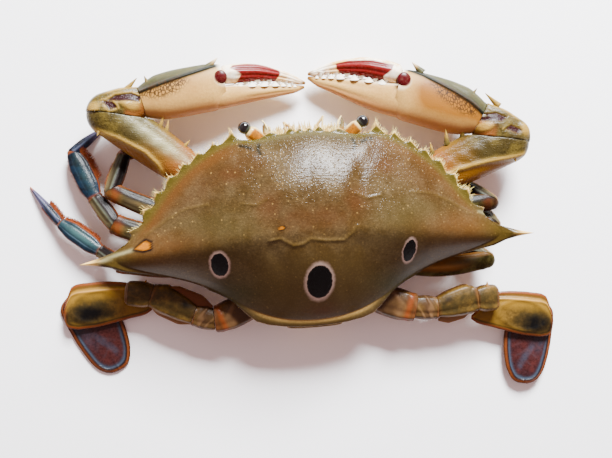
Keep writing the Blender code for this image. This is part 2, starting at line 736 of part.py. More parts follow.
def main():
    for obj in list(bpy.data.objects):
        bpy.data.objects.remove(obj)
    olive = paint("olive_shell", (0.20, 0.14, 0.05), 0.35)
    leg_olive = paint("leg_olive", (0.24, 0.17, 0.06), 0.35)
    cream = paint("cream_claw", (0.80, 0.55, 0.30), 0.35)
    wine = paint("wine_finger", (0.42, 0.03, 0.03), 0.3)
    blue = paint("leg_blue", (0.05, 0.10, 0.18), 0.3)
    plum = paint("paddle_plum", (0.12, 0.04, 0.06), 0.3)
    bone = paint("underside_bone", (0.72, 0.60, 0.45), 0.5)
    black = paint("eye_black", (0.01, 0.01, 0.01), 0.1)
    shell = carapace(olive)
    breastplate(bone)
    tail_flap(bone)
    jaws(bone)
    eyes(shell, cream, black)
    antennae(shell, cream)
    for side, tag in ((1, "l"), (-1, "r")):
        claw(side, tag, leg_olive, cream, wine)
        for number in (2, 3, 4):
            walking_leg(number, side, tag, leg_olive, blue)
        swimming_leg(side, tag, leg_olive, plum)


main()
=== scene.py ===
import math

import bmesh
import bpy
import numpy as np
from bpy.props import FloatProperty, FloatVectorProperty, IntProperty, PointerProperty
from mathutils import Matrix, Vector


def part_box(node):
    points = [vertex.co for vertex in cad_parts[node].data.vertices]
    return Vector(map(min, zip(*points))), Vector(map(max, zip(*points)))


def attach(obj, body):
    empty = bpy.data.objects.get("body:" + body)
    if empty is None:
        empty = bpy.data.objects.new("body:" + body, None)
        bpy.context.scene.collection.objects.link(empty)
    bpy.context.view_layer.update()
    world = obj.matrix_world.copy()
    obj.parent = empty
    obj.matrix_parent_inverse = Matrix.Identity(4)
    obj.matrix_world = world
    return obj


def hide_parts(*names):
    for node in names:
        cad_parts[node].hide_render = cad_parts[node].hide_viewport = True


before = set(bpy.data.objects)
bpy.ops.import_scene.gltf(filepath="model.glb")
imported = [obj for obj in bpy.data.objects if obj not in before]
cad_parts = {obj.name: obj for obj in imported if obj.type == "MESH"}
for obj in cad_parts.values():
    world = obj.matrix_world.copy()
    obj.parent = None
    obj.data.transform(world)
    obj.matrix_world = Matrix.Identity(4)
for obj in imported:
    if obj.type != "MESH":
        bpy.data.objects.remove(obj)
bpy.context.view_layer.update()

bl_info = {
    "name": "Three-spot swimming crab",
    "version": (1, 0, 0),
    "blender": (4, 5, 0),
    "location": "3D View > Sidebar > Crab",
    "description": "Builds a life-size swimming crab, with its shell, claws, legs and paddles",
    "category": "Object",
}

# The crab looks towards -Y, its own left is +X, and every size below is in its own millimetres
SHELL_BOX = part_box("carapace")
SPAN = 142.6  # width over the tips of the two side spines
MM = (SHELL_BOX[1].x - SHELL_BOX[0].x) / SPAN
UP = np.array((0.0, 0.0, 1.0))
SIDES = {"l": 1, "r": -1}  # left lies towards +X, right towards -X
CLEAR = 0.02  # lowest point of a limb or spine above the floor
PHOTO_WIDTH = 612  # pixels

# Edge of the back shell with its teeth, from the middle of the brow round one side to the stern
EDGE = [
    (0, -29.9, 20.0), (1.5, -31.3, 20.2), (3.0, -29.9, 20.0), (4.5, -31.9, 20.2), (6.0, -29.9, 20.0),
    (7.7, -29.3, 20.0), (9.4, -30.1, 20.0), (10.8, -30.7, 20.0), (12.2, -29.8, 19.9), (14.2, -28.5, 19.8),
    (16.2, -27.9, 19.7), (18.4, -28.2, 19.6), (20.6, -28.4, 19.3), (21.6, -29.8, 19.2),
    (22.7, -31.9, 19.4),
    (23.9, -29.7, 19.0), (26.1, -27.4, 18.8), (27.5, -27.3, 18.8), (28.5, -28.6, 19.0),
    (29.6, -26.8, 18.7),
    (31.6, -25.0, 18.5), (33.5, -25.6, 18.8), (34.6, -24.0, 18.5), (36.3, -21.9, 18.3),
    (38.2, -22.7, 18.6),
    (39.0, -21.0, 18.3), (39.9, -18.9, 18.1), (42.9, -19.0, 18.4), (43.6, -17.0, 18.1),
    (44.3, -14.3, 17.9),
    (47.4, -14.3, 18.2), (47.6, -12.0, 18.0), (47.5, -9.7, 17.8), (51.3, -9.2, 18.2), (51.5, -7.0, 18.0),
    (51.3, -4.5, 17.8), (55.9, -2.8, 18.3), (55.2, -0.9, 18.1), (54.8, 1.0, 18.0), (60.4, 3.2, 18.6),
    (66.0, 5.0, 19.0), (71.3, 6.4, 19.5), (66.0, 7.1, 19.0), (62.4, 7.9, 18.5), (58.5, 9.5, 18.0),
    (52.2, 10.6, 17.5), (46.7, 11.7, 17.0), (42.0, 12.8, 16.6), (37.6, 14.0, 16.2), (34.8, 15.2, 15.9),
    (32.8, 17.2, 15.6), (29.6, 18.7, 15.3), (26.4, 20.5, 15.0), (23.8, 23.3, 14.8), (21.2, 26.0, 14.6),
    (18.6, 28.2, 14.6), (15.0, 29.5, 14.6), (10.0, 30.4, 14.6), (5.0, 30.9, 14.6), (0, 31.0, 14.6),
]
SHELF, MOUTH_ROOF, DOME = 12.4, 8.6, 30.6  # underside of the shell, its front part, top of the back

# Joints of every limb, from its socket under the shell out to the tip, as the crab lies
JOINTS = {
    "claw_l": [(11.6, -9.3, 7.8), (29.0, -14.6, 9.2), (60.4, -39.8, 11.6), (50.0, -43.2, 10.8),
        (24.4, -47.3, 8.4)],
    "claw_r": [(-11.6, -9.3, 7.8), (-33.0, -11.0, 9.2), (-67.4, -24.4, 11.6), (-58.6, -32.2, 10.8),
        (-32.4, -42.0, 8.4)],
    "leg2_l": [(16.5, -2.5, 6.8), (61.3, -16.0, 8.6), (57.0, -27.4, 4.4), (48.6, -33.6, 2.4),
        (38.4, -25.0, 0.35)],
    "leg2_r": [(-16.5, -2.5, 6.8), (-61.0, -4.8, 9.4), (-54.4, -10.6, 4.6), (-45.6, -17.6, 2.4),
        (-34.6, -19.5, 0.35)],
    "leg3_l": [(18.1, 3.8, 6.8), (61.0, -5.6, 9.0), (66.9, -14.4, 6.0), (73.2, -29.4, 3.4),
        (62.6, -37.4, 0.35)],
    "leg3_r": [(-18.1, 3.8, 6.8), (-61.4, 3.2, 8.6), (-58.4, -2.6, 3.0), (-46.0, -4.4, 2.3),
        (-33.0, -5.6, 0.35)],
    "leg4_l": [(17.5, 10.1, 6.8), (60.5, 7.2, 9.2), (66.4, 2.6, 6.2), (78.6, -7.2, 3.6),
        (87.7, -19.3, 0.35)],
    "leg4_r": [(-17.5, 10.1, 6.8), (-58.6, 14.0, 9.0), (-52.0, 9.4, 4.6), (-41.8, 6.4, 2.4),
        (-30.0, 5.0, 0.35)],
    "oar_l": [(10.8, 19.5, 7.6), (31.8, 27.0, 8.0), (38.2, 25.2, 7.8), (51.0, 17.8, 7.6),
        (58.6, 16.6, 6.8)],
    "oar_r": [(-10.8, 19.5, 7.6), (-33.4, 28.0, 8.8), (-40.6, 28.8, 9.0), (-54.0, 26.8, 9.2),
        (-60.6, 26.9, 8.6)],
}
BOWS = {"leg2_l": 3.0, "leg2_r": 0.0, "leg3_l": 2.6, "leg3_r": 1.2, "leg4_l": 1.4, "leg4_r": 3.0}
BREADTHS = {
    "claw_l": 1.0, "claw_r": 1.12, "leg2_l": 0.95, "leg2_r": 0.92, "leg3_l": 1.05, "leg3_r": 1.05,
    "leg4_l": 0.9, "leg4_r": 0.98, "oar_l": 0.97, "oar_r": 1.03,
}
# Root and tip of the fixed finger and of the moving finger, and how much the moving one curves
FINGERS = {
    "claw_l": ((28.5, -42.9, 7.6), (-2.2, -46.0, 4.4), (23.6, -51.0, 8.2), (-2.6, -47.8, 4.8), 1.0),
    "claw_r": ((-35.5, -37.4, 7.6), (-4.0, -48.9, 4.4), (-33.2, -48.2, 8.2), (-4.2, -50.8, 4.8), 1.3),
}
PLATES = {
    "oar_l": ((51.6, 21.2, 3.1), (79.4, 20.3, 3.1), (76.0, 17.4, 0.8), (65.0, 42.2, 0.8)),
    "oar_r": ((-53.0, 32.2, 5.1), (-80.9, 35.2, 5.1), (-76.2, 31.0, 2.8), (-71.4, 57.2, 2.8)),
}

# Sections: (share of the length, half width, half thickness, shift towards the front edge)
CLAW_BASE = [(0.0, 3.6, 3.6, 0), (0.5, 4.0, 3.8, 0), (1.0, 4.4, 3.9, 0)]
CLAW_ARM = [(0.0, 4.4, 3.9, 0), (0.25, 5.8, 4.3, 0), (0.6, 6.7, 4.7, 0), (0.85, 6.8, 4.9, 0),
    (1.0, 6.8, 4.9, 0)]
CLAW_WRIST = [(0.0, 7.0, 4.9, 0), (0.5, 6.6, 5.0, 0), (0.85, 5.4, 4.6, 0.2), (1.0, 4.8, 4.3, 0.2)]
PALM = [
    (0.0, 4.8, 4.3, 0), (0.08, 5.7, 4.8, 0.2), (0.24, 7.1, 5.4, 0.4), (0.5, 7.6, 5.6, 0.4),
    (0.82, 7.6, 5.2, 0.3),
    (1.0, 7.1, 4.8, 0), (1.06, 6.8, 4.5, 0),
]
FIXED_FINGER = {
    "claw_l": [
        (0.0, 3.3, 4.3, 0.3), (0.13, 3.6, 4.1, 0.6), (0.26, 3.45, 3.5, 0.75), (0.52, 2.7, 2.7, 0.6),
        (0.75, 2.0, 1.9, 0.4),
        (0.9, 1.35, 1.2, 0.1), (1.0, 0.5, 0.4, 0.2),
    ],
    "claw_r": [
        (0.0, 4.8, 4.3, 1.2), (0.13, 5.0, 4.1, 1.2), (0.26, 4.8, 3.5, 0.9), (0.52, 3.7, 2.7, 0.6),
        (0.75, 2.4, 1.9, 0.4),
        (0.9, 1.5, 1.2, 0.1), (1.0, 0.5, 0.4, 0.2),
    ],
}
MOVING_FINGER = [
    (0.0, 3.0, 3.1, 0), (0.08, 3.2, 3.3, 0.4), (0.22, 3.1, 3.3, 1.0), (0.42, 2.8, 3.0, 1.5),
    (0.61, 2.15, 2.4, 1.4),
    (0.8, 1.65, 1.6, 0.8), (0.92, 1.15, 1.0, 0.1), (1.0, 0.5, 0.4, -0.3),
]
LEG_ARM = [(0.0, 2.3, 2.1, 0), (0.2, 2.4, 2.1, 0), (0.32, 3.0, 2.3, 0), (0.65, 3.5, 2.5, 0),
    (1.0, 3.1, 2.3, 0)]
LEG_WRIST = [(0.0, 2.5, 2.1, 0), (0.4, 2.8, 2.2, 0), (1.0, 2.3, 1.7, 0)]
LEG_HAND = [(0.0, 2.2, 1.6, 0), (0.3, 3.3, 1.8, 0), (0.65, 3.3, 1.7, 0), (0.9, 2.4, 1.4, 0),
    (1.0, 1.7, 1.2, 0)]
LEG_TOE = [(0.0, 1.5, 1.1, 0), (0.3, 1.6, 1.0, 0), (0.65, 1.1, 0.8, 0), (0.9, 0.5, 0.5, 0),
    (1.0, 0.2, 0.25, 0)]
OAR_BASE = [(0.0, 3.2, 3.2, 0), (0.35, 4.6, 3.8, -0.3), (0.75, 5.0, 3.6, -0.6), (1.0, 4.2, 3.2, -0.3)]
OAR_LINK = [(0.0, 3.6, 3.0, 0), (0.5, 3.9, 3.0, 0), (1.0, 3.3, 2.8, 0)]
OAR_ARM = [(0.0, 3.2, 2.8, 0.2), (0.3, 4.3, 3.0, 0.4), (0.75, 4.9, 2.9, 0.6), (1.0, 3.6, 2.6, 0.2)]
OAR_WRIST = [(0.0, 3.6, 2.6, 0), (0.4, 4.3, 2.8, 0), (0.85, 4.2, 2.5, 0), (1.0, 3.6, 2.2, 0)]
OAR_PLATE = [
    (0.0, 0.7, 0.3, -1.0), (0.055, 2.0, 0.7, -0.8), (0.13, 3.5, 1.0, 0.0), (0.2, 4.8, 1.1, 0.9),
    (0.27, 6.0, 1.15, 1.7),
    (0.38, 6.6, 1.15, 1.6), (0.53, 7.2, 1.15, 1.2), (0.67, 7.5, 1.15, 0.8), (0.82, 7.5, 1.05, 0.45),
    (0.9, 6.9, 0.95, 0.1), (0.95, 5.2, 0.85, -1.2), (0.985, 3.0, 0.6, -2.1), (1.0, 1.0, 0.35, -2.2),
]
PADDLE = [
    (-0.05, 2.0, 0.45, 0.4), (0.0, 4.8, 0.7, 0.2), (0.1, 7.2, 0.8, -0.8), (0.26, 8.2, 0.85, -1.6),
    (0.42, 8.4, 0.85, -1.9),
    (0.55, 8.15, 0.85, -1.9), (0.7, 7.5, 0.8, -1.8), (0.8, 6.8, 0.75, -1.7), (0.88, 5.8, 0.7, -1.6),
    (0.94, 4.6, 0.6, -1.7),
    (0.98, 3.2, 0.5, -1.8), (1.0, 1.6, 0.35, -1.9),
]

BREAST = [(0, -13.0), (8.0, -13.0), (15.2, -5.6), (17.8, 0.6), (18.4, 7.0), (16.6, 13.2), (13.6, 16.8),
    (8.0, 22.3), (0, 23.0)]
TAIL_PATH = [  # y, z, half width
    (30.6, 13.2, 8.6), (31.2, 9.0, 8.8), (29.4, 4.6, 8.4), (25.8, 1.6, 7.6), (20.0, 0.85, 7.0),
    (12.0, 0.85, 5.6),
    (4.0, 0.85, 3.6), (-2.0, 0.85, 2.2), (-4.6, 0.85, 1.0),
]


def tint(code):
    """A paint written as in a paint chart, in Blender's linear values."""
    parts = [int(code[k:k + 2], 16) / 255 for k in (0, 2, 4)]
    return tuple(p / 12.92 if p <= 0.04045 else ((p + 0.055) / 1.055) ** 2.4 for p in parts)


def colour(name, description, code):
    """A colour that a user can change."""
    return FloatVectorProperty(
        name=name, description=description, default=tint(code), subtype="COLOR", size=3, min=0, max=1
    )


def strength(name, description, low=0.2, high=1.5):
    """A slider that multiplies a size of the real crab."""
    return FloatProperty(name=name, description=description + " against the real ones", default=1.0,
        min=low, max=high)


# Curves and masks


def ease(xs, ys, at):
    """A smooth curve through the points of a table, that never overshoots them."""
    xs, ys = np.asarray(xs, float), np.asarray(ys, float)
    step, slope = np.diff(xs), np.diff(ys) / np.diff(xs)
    lean = np.zeros_like(ys)
    same = slope[1:] * slope[:-1] > 0
    total = np.where(same, slope[1:] + slope[:-1], 1.0)
    lean[1:-1] = np.where(same, 2 * slope[1:] * slope[:-1] / total, 0.0)
    lean[0], lean[-1] = slope[0], slope[-1]
    k = np.clip(np.searchsorted(xs, at, side="right") - 1, 0, len(step) - 1)
    t = np.clip((at - xs[k]) / step[k], 0, 1)
    return (
        (2 * t**3 - 3 * t**2 + 1) * ys[k] + (t**3 - 2 * t**2 + t) * step[k] * lean[k]
        + (3 * t**2 - 2 * t**3) * ys[k + 1] + (t**3 - t**2) * step[k] * lean[k + 1]
    )


def column(table, number, at):
    """A smooth curve through one column of a table of sections."""
    return ease(table[:, 0], table[:, number], at)


def ramp(value, low, high):
    """0 below low, 1 above high and smooth between them; low may be the larger one."""
    t = np.clip((value - low) / (high - low), 0, 1)
    return t * t * (3 - 2 * t)


def bell(value, middle, width):
    """A smooth hump of height 1."""
    return np.exp(-(((value - middle) / width) ** 2))


def bell_at(turn, middle, width):
    """A smooth hump at that many degrees round a tube."""
    return bell(np.degrees(turn) % 360, middle, width)


def line_way(points, line):
    """How far points are from a line of (x, y) corners, and on which side: positive is to its left."""
    xy = points[..., :2]
    best = np.full(xy.shape[:-1], 1e9)
    side = np.ones(xy.shape[:-1])
    for a, b in zip(line, line[1:]):
        a, b = np.array(a, float), np.array(b, float)
        way = b - a
        t = np.clip(((xy - a) @ way) / (way @ way), 0, 1)
        gap = xy - a - t[..., None] * way
        far = np.hypot(gap[..., 0], gap[..., 1])
        turn = way[0] * (xy[..., 1] - a[1]) - way[1] * (xy[..., 0] - a[0])
        near = far < best
        best = np.where(near, far, best)
        side = np.where(near, np.sign(turn), side)
    return best * side


def stroke(points, line, width):
    """A soft painted line through (x, y) corners."""
    return np.exp(-((line_way(points, line) / width) ** 2))


def patch(points, x, y, rx, ry, turn=0.0, soft=0.3):
    """A soft-edged oval patch seen from above, turned by that many degrees."""
    c, s = math.cos(math.radians(turn)), math.sin(math.radians(turn))
    dx, dy = points[..., 0] - x, points[..., 1] - y
    reach = np.hypot((dx * c + dy * s) / rx, (dy * c - dx * s) / ry)
    return ramp(reach, 1 + soft, 1 - soft)


def most(*masks):
    """The strongest of several masks."""
    result = masks[0]
    for mask in masks[1:]:
        result = np.maximum(result, mask)
    return result


# Forms, which are closed tubes of rings with masks for their paint


def frame_of(start, end, hand):
    """Length, direction, the way to the front edge and the way up of a limb piece."""
    start, end = np.array(start, float), np.array(end, float)
    length = np.linalg.norm(end - start)
    along = (end - start) / length
    across = np.cross(UP, along)
    across *= -hand / np.linalg.norm(across)
    return length, along, across, np.cross(along, across) * -hand


def limb_form(table, start, end, hand, caps=(1, 1), breadth=1.0, bow=0.0, rows=80, sides=56, power=2.3,
    relief=None):
    """A limb piece: a smooth tube through its sections, with rounded ends. Returns a dict of arrays."""
    length, along, across, lift = frame_of(start, end, hand)
    table = np.array(table, float)
    body = np.linspace(table[0, 0] * length, table[-1, 0] * length, rows)
    turns = np.linspace(0, math.pi / 2, 14)[1:]
    far, size = [body], [np.ones(rows)]
    if caps[0]:
        far.insert(0, body[0] - caps[0] * np.sin(turns[::-1]))
        size.insert(0, np.cos(turns[::-1]))
    if caps[1]:
        far.append(body[-1] + caps[1] * np.sin(turns))
        size.append(np.cos(turns))
    far, size = np.concatenate(far), np.concatenate(size)
    share = np.clip(far / length, table[0, 0], table[-1, 0])
    width = column(table, 1, share) * breadth * size
    thick = column(table, 2, share) * size
    shift = column(table, 3, share) * breadth - bow * 4 * share * (1 - share)
    turn = np.linspace(0, 2 * math.pi, sides, endpoint=False)
    front = np.copysign(np.abs(np.cos(turn)) ** (2 / power), np.cos(turn))
    rise = np.copysign(np.abs(np.sin(turn)) ** (2 / power), np.sin(turn))
    share2, turn2 = np.meshgrid(share, turn, indexing="ij")
    swell = relief(share2, front[None], rise[None], turn2) if relief else np.zeros_like(share2)
    swell = swell * size[:, None]
    a = front[None] * (width[:, None] + swell) + shift[:, None]
    u = rise[None] * (thick[:, None] + swell)
    points = np.array(start, float) + far[:, None, None] * along + a[..., None] * across + u[...,
        None] * lift
    points[..., 2] = np.maximum(points[..., 2], CLEAR)
    if hand < 0:  # keep the faces outward on both sides
        points = points[:, ::-1]
        front, rise = front[::-1], rise[::-1]
    ones = np.ones_like(share2)
    return {"points": points, "share": share2, "front": front[None] * ones, "rise": rise[None] * ones,
        "masks": {}}


def spike_form(root, tip, half, sides=14, rows=12, bend=(0, 0, 0), power=1.0, masks=None):
    """A pointed spine or tooth, with its root sunk in what it grows from."""
    root, tip, bend = np.array(root, float), np.array(tip, float), np.array(bend, float)
    along = tip - root
    along /= np.linalg.norm(along)
    across = np.cross(along, UP if abs(along[2]) < 0.9 else np.array((1.0, 0, 0)))
    across /= np.linalg.norm(across)
    lift = np.cross(across, along)
    share = np.linspace(0, 1, rows)[:, None]
    size = half * (1 - share**power * 0.93)
    middle = root + (tip - root) * share + bend * (4 * share * (1 - share))
    turn = np.linspace(0, 2 * math.pi, sides, endpoint=False)
    rings = middle[:, None] + size[..., None] * (
        np.cos(turn)[None, :, None] * across + np.sin(turn)[None, :, None] * lift
    )
    rings[..., 2] = np.maximum(rings[..., 2], CLEAR)
    form = {"points": rings, "share": share * np.ones_like(turn), "masks": {}}
    for name, value in (masks or {}).items():
        form["masks"][name] = value(form) if callable(value) else value
    return form


def thorn(mark, low, high, half, **masks):
    """A spine from one marked (x, y) place to another, at those heights."""
    return spike_form((*mark[:2], low), (*mark[2:], high), half, masks=masks)


def globe(middle, radius, way, sides=64, rows=48):
    """A round eye as rings about the way that it looks."""
    middle, way = np.array(middle, float), unit(way)
    across = unit(np.cross(UP, way))
    lift = np.cross(way, across)
    turn = np.linspace(0, 2 * math.pi, sides, endpoint=False)
    polar = np.linspace(math.pi - 0.03, 0.03, rows)
    rings = middle + radius * (
        np.cos(polar)[:, None, None] * way
        + np.sin(polar)[:, None, None]
            * (np.cos(turn)[None, :, None] * across + np.sin(turn)[None, :, None] * lift)
    )
    share = (np.cos(polar)[:, None] + 1) / 2 * np.ones(sides)
    return {"points": rings, "share": share, "masks": {}}


def build(name, forms, material):
    """One mesh object from closed forms, with their masks kept as attributes."""
    verts, faces = [], []
    names = sorted({m for form in forms for m in form["masks"]})
    base = 0
    values = {m: [] for m in names}
    for form in forms:
        points = form["points"]
        rows, sides = points.shape[:2]
        ends = np.array([points[0].mean(0), points[-1].mean(0)])
        verts.append(np.concatenate((points.reshape(-1, 3), ends)))
        index = base + np.arange(rows * sides).reshape(rows, sides)
        nxt = np.roll(index, -1, axis=1)
        quads = np.stack((index[:-1], nxt[:-1], nxt[1:], index[1:]), -1).reshape(-1, 4)
        faces.extend(quads.tolist())
        low, high = base + rows * sides, base + rows * sides + 1
        faces.extend(np.stack((nxt[0], index[0], np.full(sides, low)), -1).tolist())
        faces.extend(np.stack((index[-1], nxt[-1], np.full(sides, high)), -1).tolist())
        for m in names:
            value = np.broadcast_to(form["masks"].get(m, 0.0), (rows, sides))
            values[m].append(np.concatenate((value.ravel(), [value[0].mean(), value[-1].mean()])))
        base += rows * sides + 2
    mesh = bpy.data.meshes.new(name)
    mesh.from_pydata((np.concatenate(verts) * MM).tolist(), [], faces)
    bm = bmesh.new()
    bm.from_mesh(mesh)
    bmesh.ops.recalc_face_normals(bm, faces=bm.faces)
    bm.to_mesh(mesh)
    bm.free()
    for m in names:
        attribute = mesh.attributes.new(m, "FLOAT", "POINT")
        attribute.data.foreach_set("value", np.concatenate(values[m]).astype(np.float32))
    mesh.shade_smooth()
    mesh.materials.append(material)
    return show(name, mesh)


def show(name, data):
    """A new object in the scene."""
    obj = bpy.data.objects.new(name, data)
    bpy.context.scene.collection.objects.link(obj)
    return obj


def seat(obj, slot, *nodes):
    """Puts a finished piece on the body, in place of the solids that it stands for."""
    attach(obj, "root")
    if nodes:
        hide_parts(*nodes)
    return obj


# Finishes


def group_tree(name, inputs, outputs):
    """A new shader node group with its sockets, and a short way to add nodes to it."""
    tree = bpy.data.node_groups.new(name, "ShaderNodeTree")
    for label, kind, value in inputs:
        socket = tree.interface.new_socket(label, in_out="INPUT", socket_type="NodeSocket" + kind)
        if value is not None:
            socket.default_value = value
    for label, kind in outputs:
        tree.interface.new_socket(label, in_out="OUTPUT", socket_type="NodeSocket" + kind)
    return tree, tree.nodes.new("NodeGroupInput").outputs, tree.nodes.new("NodeGroupOutput").inputs


def plug(tree, target, value):
    """Links a socket to another one, or sets its value."""
    if isinstance(value, bpy.types.NodeSocket):
        tree.links.new(value, target)
    elif value is not None:
        target.default_value = value


def add_node(tree, kind, *values, operation=None, **named):
    """A new node with its inputs, in their order or by name, each a socket or a value."""
    node = tree.nodes.new(kind)
    if operation:
        node.operation = operation
    for socket, value in zip(node.inputs, values):
        plug(tree, socket, value)
    for label, value in named.items():
        plug(tree, node.inputs[label], value)
    return node


def mask_of(tree, name):
    """A painted mask of the mesh."""
    source = tree.nodes.new("ShaderNodeAttribute")
    source.attribute_name = name
    return source.outputs["Fac"]


def sum_of(tree, operation, *values, clamp=False):
    """A Math node on the given sockets or numbers."""
    node = add_node(tree, "ShaderNodeMath", *values, operation=operation)
    node.use_clamp = clamp
    return node.outputs[0]


def times(tree, *values, clamp=False):
    """The product of two sockets or numbers."""
    return sum_of(tree, "MULTIPLY", *values, clamp=clamp)


def blend_of(tree, factor, first, second, kind="MIX"):
    """A colour mixed from two others."""
    node = tree.nodes.new("ShaderNodeMix")
    node.data_type = "RGBA"
    node.blend_type = kind
    node.clamp_factor = True
    for socket, value in ((node.inputs[0], factor), (node.inputs[6], first), (node.inputs[7], second)):
        plug(tree, socket, (*value, 1) if hasattr(value, "__len__") else value)
    return node.outputs[2]


def range_of(tree, value, low, high, to_low=0.0, to_high=1.0):
    """A value smoothly brought from one range to another."""
    node = add_node(tree, "ShaderNodeMapRange", value, low, high, to_low, to_high)
    node.interpolation_type = "SMOOTHSTEP"
    return node.outputs[0]


def noise_of(tree, vector, scale, detail=2.0, roughness=0.5):
    """A grey noise about one half."""
    return add_node(tree, "ShaderNodeTexNoise", Vector=vector, Scale=scale, Detail=detail,
        Roughness=roughness).outputs[0]


def make_spot_group():
    """Group that gives the dark core and the pale ring of an eye spot on the shell."""
    tree, inputs, outputs = group_tree(
        "ringed_spot",
        [("Position", "Vector", None), ("Centre", "Vector", (0, 0, 0)), ("Turn", "Float", 0.0),
         ("Half Size", "Vector", (1, 1, 1)), ("Ring", "Float", 1.3)],
        [("Core", "Float"), ("Ring", "Float")],
    )
    vector_math = "ShaderNodeVectorMath"
    wobble = add_node(tree, "ShaderNodeTexNoise", Scale=0.8, Vector=inputs["Position"])
    jitter = add_node(
        tree, vector_math, wobble.outputs["Color"], (0.7, 0.7, 0), inputs["Position"],
        operation="MULTIPLY_ADD"
    )
    place = add_node(tree, vector_math, jitter.outputs[0], inputs["Centre"], operation="SUBTRACT")
    turn = add_node(tree, "ShaderNodeVectorRotate", Vector=place.outputs[0], Angle=inputs["Turn"])
    turn.rotation_type = "Z_AXIS"
    flat = add_node(tree, vector_math, turn.outputs[0], inputs["Half Size"], operation="DIVIDE")
    split = add_node(tree, "ShaderNodeSeparateXYZ", flat.outputs[0])
    x, y = split.outputs[0], split.outputs[1]
    reach = sum_of(tree, "SQRT", sum_of(tree, "ADD", times(tree, x, x), times(tree, y, y)))
    plug(tree, outputs["Core"], range_of(tree, reach, 1.06, 0.96))
    outer = range_of(tree, reach, sum_of(tree, "ADD", inputs["Ring"], 0.16),
        sum_of(tree, "SUBTRACT", inputs["Ring"], 0.2))
    plug(tree, outputs["Ring"], times(tree, outer, 0.9))
    return tree


def make_edge_group():
    """Group that gives a soft painted mask a ragged, natural edge."""
    tree, inputs, outputs = group_tree(
        "ragged_mask",
        [("Mask", "Float", 0.0), ("Position", "Vector", None), ("Scale", "Float", 0.5),
            ("Ragged", "Float", 0.3)],
        [("Mask", "Float")],
    )
    noise = noise_of(tree, inputs["Position"], inputs["Scale"], 3.0, 0.6)
    push = times(tree, sum_of(tree, "SUBTRACT", noise, 0.5), inputs["Ragged"])
    moved = sum_of(tree, "ADD", inputs["Mask"],
        times(tree, push, range_of(tree, inputs["Mask"], 0.02, 0.3)))
    plug(tree, outputs["Mask"], times(tree, moved, 1.0, clamp=True))
    return tree


def make_grain_group():
    """Group for the shell's fine granules and its cross-wise wrinkles."""
    tree, inputs, outputs = group_tree(
        "shell_grain",
        [("Position", "Vector", None), ("Size", "Float", 0.5), ("Wrinkles", "Float", 0.4)],
        [("Height", "Float"), ("Dots", "Float")],
    )
    cells = add_node(tree, "ShaderNodeTexVoronoi", Vector=inputs["Position"])
    plug(tree, cells.inputs["Scale"], sum_of(tree, "DIVIDE", 1.0, inputs["Size"]))
    dots = range_of(tree, cells.outputs["Distance"], 0.5, 0.05)
    stretch = add_node(tree, "ShaderNodeMapping", Scale=(0.28, 1.5, 1.5), Vector=inputs["Position"])
    wrinkles = noise_of(tree, stretch.outputs[0], 1.1, 3.0, 0.6)
    height = sum_of(tree, "ADD", times(tree, dots, 0.5), times(tree, wrinkles, inputs["Wrinkles"]))
    plug(tree, outputs["Height"], height)
    plug(tree, outputs["Dots"], dots)
    return tree


def shared_group(name, maker):
    """The named shader group, made the first time that it is asked for."""
    return bpy.data.node_groups.get(name) or maker()


def place_group(tree, group, **values):
    """Puts a node group in a material with its values, and returns its outputs."""
    node = tree.nodes.new("ShaderNodeGroup")
    node.node_tree = group
    for label, value in values.items():
        plug(tree, node.inputs[label.replace("_", " ")], value)
    return node.outputs


def finish(name, base, second, layers=(), grain=0.5, wrinkles=0.3, bump=0.05, rough=(0.3, 0.45), coat=0.3,
           scale=0.12, extra=None, speckle=0.0, sub=0.0, mottle=0.5, shine=0.26):
    """A shell finish: two mottled colours, painted layers over them, granules and gloss."""
    material = bpy.data.materials.new(name)
    material.use_nodes = True
    tree = material.node_tree
    shader = tree.nodes["Principled BSDF"]
    coords = tree.nodes.new("ShaderNodeTexCoord")
    position = add_node(tree, "ShaderNodeMapping", Scale=(1 / MM,) * 3,
        Vector=coords.outputs["Object"]).outputs[0]
    cloud = noise_of(tree, position, scale, 4.0, 0.6)
    shade = blend_of(tree, range_of(tree, cloud, 0.35, 0.65), base, second)
    fine = noise_of(tree, position, 1.3, 3.0, 0.65)
    shade = blend_of(tree, mottle, shade,
        blend_of(tree, range_of(tree, fine, 0.3, 0.7), (0.25, 0.25, 0.25), (0.75, 0.75, 0.75)), "OVERLAY")
    grains = place_group(tree, shared_group("shell_grain", make_grain_group), Position=position,
        Size=grain, Wrinkles=wrinkles)
    for mask, paint, ragged, size in layers:
        source = mask_of(tree, mask)
        edge = place_group(
            tree, shared_group("ragged_mask", make_edge_group),
            Mask=source, Position=position, Scale=size, Ragged=ragged,
        )
        shade = blend_of(tree, edge["Mask"], shade, paint)
    if speckle:
        shade = blend_of(
            tree, times(tree, grains["Dots"], speckle), shade,
            blend_of(tree, 1.0, shade, (1.0, 1.0, 0.9), "SOFT_LIGHT"),
        )
    gloss = range_of(tree, fine, 0.3, 0.7, rough[0], rough[1])
    amount = bump
    if extra:
        shade, gloss, amount = extra(tree, position, shade, gloss, bump)
    plug(tree, shader.inputs["Base Color"], shade)
    plug(tree, shader.inputs["Roughness"], gloss)
    settings = {"Coat Weight": coat, "Coat Roughness": 0.12, "IOR": 1.33, "Specular IOR Level": shine}
    if sub:
        settings.update({"Subsurface Weight": sub, "Subsurface Radius": (0.0012, 0.0007, 0.0004)})
    for label, value in settings.items():
        shader.inputs[label].default_value = value
    relief = add_node(tree, "ShaderNodeBump", Distance=MM, Strength=1.0)
    plug(tree, relief.inputs["Height"], times(tree, grains["Height"], amount))
    plug(tree, shader.inputs["Normal"], relief.outputs[0])
    return material


def hair_finish(name, base, second, scale):
    """A dull, plain finish for bristles."""
    return finish(name, base, second, grain=0.4, bump=0.0, rough=(0.5, 0.7), coat=0.0, scale=scale)


# Back shell


